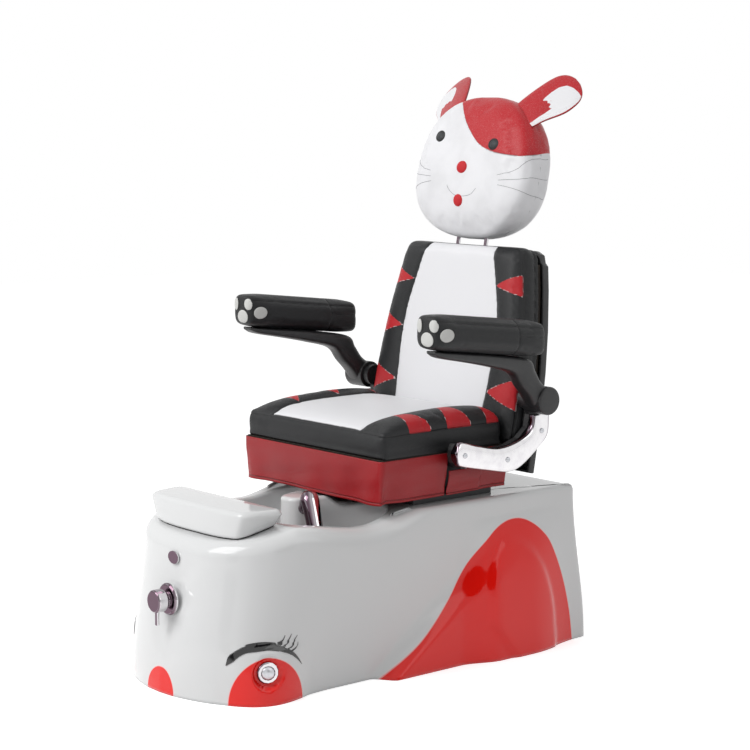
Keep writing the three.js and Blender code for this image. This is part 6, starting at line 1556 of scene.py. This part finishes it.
BOLTS = [(0.10796, 0.4681), (0.23396, 0.4460), (0.3372, 0.4990)]
BOLT_X = 0.2912
BOLT_PROFILE = [(0.0, 0.0033), (0.0012, 0.0033), (0.0016, 0.0026), (0.0034, 0.0026), (0.0052, 0.0018),
                (0.006, 0.0002), (0.006, -0.0002), (0.0, -0.0002)]
for word, side in (("left", 1), ("right", -1)):
    band = wear(bracket_form(side, word), chrome)
    settle(band, "seat", "chrome", "side_bracket_" + word)
    for number, (y, z) in enumerate(BOLTS, 1):
        bolt = lathe(f"bracket_screw_{word}_{number}", BOLT_PROFILE, (side, 0, 0), (side * BOLT_X, y, z),
                     soft=0.0004)
        settle(wear(bolt, zinc), "seat", "zinc_steel", f"bracket_bolt_{word}_{number}")
print("brackets and screws are on")

# %% [markdown]
# ## The other metal, wood and plastic
# The remaining nodes keep their form. Those listed below are shown by merged copies with eased edges and
# weighted normals, in the finish of their material, and the other nodes still shown take the finish of their
# slot as they are.

# %% Eased copies of nodes
BROW_BLACK = Finish("black paint", (0.006, 0.006, 0.007), 0.08, 0.14, 0.1, coat=0.5)
BROW_BLACK.cloud(25.0, (0.009, 0.009, 0.010), 0.6)
black_paint = BROW_BLACK.done()


def eased(node, body, slot, finish, width=0.0008, angle=35):
    """A copy of a node's mesh, merged and cleared of flat splits, with a bevel on its sharp edges."""
    source = frame["nodes"][node]
    mesh = source.data.copy()
    mesh.transform(source.matrix_world)
    work = bmesh.new()
    work.from_mesh(mesh)
    bmesh.ops.remove_doubles(work, verts=work.verts, dist=2e-5)
    bmesh.ops.dissolve_limit(work, angle_limit=math.radians(1), verts=work.verts, edges=work.edges)
    bmesh.ops.recalc_face_normals(work, faces=work.faces)
    work.to_mesh(mesh)
    work.free()
    mesh.shade_smooth()
    piece = bpy.data.objects.new(node + "_eased", mesh)
    bpy.context.scene.collection.objects.link(piece)
    edge = piece.modifiers.new("eased edges", "BEVEL")
    edge.width, edge.segments, edge.limit_method = width, 3, "ANGLE"
    edge.angle_limit = math.radians(angle)
    even = piece.modifiers.new("even shading", "WEIGHTED_NORMAL")
    even.keep_sharp = True
    wear(piece, finish)
    return settle(piece, body, slot, node)


STAINED = Finish("dark stained plywood", (0.02, 0.016, 0.013), 0.5, 0.7, 0.1, specular=0.2)
STAINED.cloud(30.0, (0.035, 0.027, 0.02), 0.8)
STAINED.raise_by(noise(STAINED.tree, STAINED.place, 180.0, 4.0), 0.0002)
dark_plywood = STAINED.done()
EASED = [
    ("base", "tub_gelcoat", plain_gelcoat, 0.001, ["rear_access_panel"]),
    ("base", "rubber", rubber, 0.0006, ["footrest_gasket"]),
    ("base", "painted_steel", powder, 0.0012, ["base_frame"]),
    ("base", "black_plastic", black_plastic, 0.0015,
     ["levelling_foot_front_left", "levelling_foot_front_right",
      "levelling_foot_rear_left", "levelling_foot_rear_right"]),
    ("base", "chrome", chrome, 0.0012,
     ["mixer_escutcheon", "button_bezel_left", "button_bezel_right", "drain_fitting"]),
    ("seat", "plywood", dark_plywood, 0.0006, ["seat_board", "back_board"]),
    ("seat", "black_plastic", black_plastic, 0.003, ["back_cover"]),
    ("head", "chrome", chrome, 0.0004, ["head_post_left", "head_post_right"]),
    ("collar", "chrome", chrome, 0.0008, ["mixer_collar"]),
    ("lever", "chrome", chrome, 0.0012, ["mixer_handle"]),
    ("button_left", "black_plastic", zinc, 0.0010, ["eye_button_left"]),
    ("button_right", "black_plastic", zinc, 0.0010, ["eye_button_right"]),
]
for body, slot, finish, width, nodes in EASED:
    for node in nodes:
        eased(node, body, slot, finish, width)
PLAIN = {"zinc_steel": zinc, "painted_steel": powder, "black_plastic": black_plastic,
         "grey_plastic": grey_plastic, "rubber": rubber, "chrome": chrome, "plywood": dark_plywood,
         "black_vinyl": plain_black, "tub_gelcoat": plain_gelcoat, "white_vinyl": white_vinyl,
         "red_vinyl": red_vinyl}
slot_of = {part["node"]: part["material_slot"] for part in frame["record"]["subparts"]}
shown = 0
for node, source in frame["nodes"].items():
    if not source.hide_render:
        wear(source, PLAIN[slot_of[node]])
        shown += 1
print(shown, "nodes are shown as they are")
# %% [markdown]
# Over each eye button lies a black brow, thick in the middle and pointed at both ends, with four
# curved lashes at its rear end. They are thin films on the tub wall.

# %% Brows and lashes
BROW_TOP = [(0.1594, -0.4353, 0.084), (0.1625, -0.4298, 0.1016), (0.176, -0.4184, 0.1162),
            (0.1885, -0.4036, 0.1253), (0.1995, -0.3877, 0.1288), (0.2087, -0.3704, 0.1292),
            (0.2157, -0.3515, 0.1266), (0.2229, -0.3326, 0.1208), (0.2281, -0.3121, 0.1083),
            (0.2294, -0.2933, 0.0892), (0.2266, -0.2812, 0.0716)]
BROW_LOW = [(0.1600, -0.4350, 0.082), (0.1722, -0.4265, 0.0911), (0.1827, -0.4178, 0.1028),
            (0.1915, -0.4036, 0.1101), (0.2015, -0.3893, 0.1136), (0.2113, -0.3726, 0.1151),
            (0.2189, -0.354, 0.1138), (0.226, -0.3351, 0.1091), (0.2294, -0.3131, 0.0988),
            (0.2294, -0.2958, 0.0857), (0.2268, -0.2824, 0.0727)]
LASHES = [[(0.2190, -0.3420, 0.1225), (0.2213, -0.3330, 0.1255), (0.2215, -0.3275, 0.1290),
           (0.2222, -0.3231, 0.1382)],
          [(0.2220, -0.3330, 0.1175), (0.2240, -0.3230, 0.1215), (0.2240, -0.3147, 0.1262),
           (0.2242, -0.3073, 0.1387)],
          [(0.2250, -0.3250, 0.1115), (0.2270, -0.3130, 0.1155), (0.2267, -0.3034, 0.1210),
           (0.2256, -0.2930, 0.1337)],
          [(0.2270, -0.3160, 0.1050), (0.2285, -0.3060, 0.1080), (0.2279, -0.2980, 0.1120),
           (0.2268, -0.2911, 0.1212)]]
CLEAR_OF_WALL = 0.01


def film(name, low, top, side):
    """A strip between two lines, laid on the tub wall from outside, and a little thick."""
    share = np.linspace(0, 1, 9)[:, None, None]
    strip = mix(low, top, share) + EYE_OUTWARD * CLEAR_OF_WALL
    strip = laid_on(tub, strip * (side, 1, 1), 0.0006)
    return thicken(skin(name, strip), 0.0008, 0.0)


for word, side in (("left", 1), ("right", -1)):
    films = [film("brow", through(BROW_LOW, 70), through(BROW_TOP, 70), side)]
    for lash in LASHES:
        line = through(lash, 30)
        width = 0.0021 * (1 - np.linspace(0, 1, 30)[:, None] ** 1.5) + 0.0001
        run = unit(np.gradient(line, axis=0))
        sideways = unit(np.cross(run, EYE_OUTWARD))
        films.append(film("lash", line - sideways * width, line + sideways * width, side))
    for strip in films:
        apply_modifier(strip, strip.modifiers["wall"])
    brow = wear(joined("eye_brow_" + word, films), black_paint)
    settle(brow, "base", "black_plastic")
print("brows:", len(brow.data.vertices), "points each")
# %% [markdown]
# The camera stands where the photograph's did. The light is plain and soft: a pale world, one broad
# lamp above and to the left, and a weaker one to the right. The floor and the world show white to the
# camera and in reflections.

# %% Camera, floor and light
LENS_MM, SENSOR_MM, LOOK_DOWN, LOOK_SIDE = 97.15, 36, 7.39, 49.51
CAMERA_X, CAMERA_Y, CAMERA_Z = 3.39, -2.79, 1.191
WORLD_LIGHT, FLOOR_GLOW = 0.5, 0.62


def stand_camera():
    """A camera with a long lens, turned by its azimuth and elevation."""
    camera = bpy.data.objects.new("camera", bpy.data.cameras.new("camera"))
    bpy.context.scene.collection.objects.link(camera)
    camera.data.lens, camera.data.sensor_width = LENS_MM, SENSOR_MM
    camera.location = (CAMERA_X, CAMERA_Y + SHIFT_Y, CAMERA_Z)
    camera.rotation_euler = (math.radians(90 - LOOK_DOWN), 0, math.radians(LOOK_SIDE))
    camera.data.clip_end = 60
    bpy.context.scene.camera = camera


def lamp(name, place, aim, size, power_watts):
    light = bpy.data.lights.new(name, "AREA")
    light.shape, light.size, light.energy = "SQUARE", size, power_watts
    piece = bpy.data.objects.new(name, light)
    bpy.context.scene.collection.objects.link(piece)
    piece.location = place
    away = np.array(place) - np.array(aim)
    piece.rotation_euler = (math.acos(away[2] / np.linalg.norm(away)), 0,
                            math.atan2(away[1], away[0]) + math.pi / 2)


def seen_directly(tree):
    """1 for rays from the camera, from a mirror or through glass, and 0 for rays that light a surface."""
    path = add(tree, "ShaderNodeLightPath")
    return math_node(tree, "MAXIMUM", path.outputs["Is Camera Ray"],
                     math_node(tree, "MAXIMUM", path.outputs["Is Glossy Ray"],
                               path.outputs["Is Transmission Ray"]))


def light_world():
    """The world lights softly, and shows plain white where it is seen."""
    world = bpy.data.worlds.new("studio")
    bpy.context.scene.world = world
    world.use_nodes = True
    tree = world.node_tree
    plain = tree.nodes["Background"]
    plain.inputs["Color"].default_value = (1, 1, 1, 1)
    plain.inputs["Strength"].default_value = WORLD_LIGHT
    white = add(tree, "ShaderNodeBackground")
    white.inputs["Color"].default_value = (1, 1, 1, 1)
    white.inputs["Strength"].default_value = 1.0
    pick = tree.nodes.new("ShaderNodeMixShader")
    tree.links.new(seen_directly(tree), pick.inputs[0])
    tree.links.new(plain.outputs[0], pick.inputs[1])
    tree.links.new(white.outputs[0], pick.inputs[2])
    tree.links.new(pick.outputs[0], tree.nodes["World Output"].inputs["Surface"])


def lay_floor():
    """A pale floor. Where it is seen it also glows a little, so only the chair's shadow shows on it."""
    flat = np.array([[[-9, -9, 0], [9, -9, 0]], [[-9, 9, 0], [9, 9, 0]]], float)
    floor = skin("floor", flat, lift=False)
    finish = bpy.data.materials.new("pale floor")
    finish.use_nodes = True
    tree = finish.node_tree
    shader = next(node for node in tree.nodes if node.type == "BSDF_PRINCIPLED")
    shader.inputs["Base Color"].default_value = (0.8, 0.8, 0.8, 1)
    shader.inputs["Roughness"].default_value = 0.9
    shader.inputs["Specular IOR Level"].default_value = 0.0
    glow = add(tree, "ShaderNodeEmission")
    glow.inputs["Color"].default_value = (1, 1, 1, 1)
    tree.links.new(math_node(tree, "MULTIPLY", seen_directly(tree), FLOOR_GLOW), glow.inputs["Strength"])
    both = tree.nodes.new("ShaderNodeAddShader")
    tree.links.new(shader.outputs[0], both.inputs[0])
    tree.links.new(glow.outputs[0], both.inputs[1])
    tree.links.new(both.outputs[0], tree.nodes["Material Output"].inputs["Surface"])
    wear(floor, finish)
    return floor


def dark_card(name, place, size_x, size_z):
    """A dark upright card to one side of the camera and further out, hidden from the camera itself."""
    place = np.array(place)
    facing = unit(-place * (1, 1, 0))
    across = np.array([-facing[1], facing[0], 0.0])
    up = np.array([0, 0, size_z / 2])
    corners = [[place + across * a * size_x / 2 + b * up for a in (-1, 1)] for b in (-1, 1)]
    card = skin(name, np.array(corners), lift=False)
    felt = Finish("dark felt", (0.02, 0.016, 0.02), 0.8, 0.95, 0.3, specular=0.1)
    felt.cloud(3.0, (0.05, 0.03, 0.045), 0.8)
    wear(card, felt.done())
    card.visible_camera = False


stand_camera()
light_world()
lay_floor()
lamp("broad lamp", (-0.9, -3.6, 3.4), (0, 0, 0.6), 2.8, 150)
lamp("side lamp", (3.4, 0.6, 2.8), (0, 0, 0.6), 2.4, 16)
dark_card("dark card right", (4.6, -1.2, 1.2), 1.6, 2.0)
dark_card("dark card left", (0.9, -5.2, 1.0), 1.4, 1.8)
view = bpy.context.scene.view_settings
view.view_transform = "Standard"
print("camera and light stand")
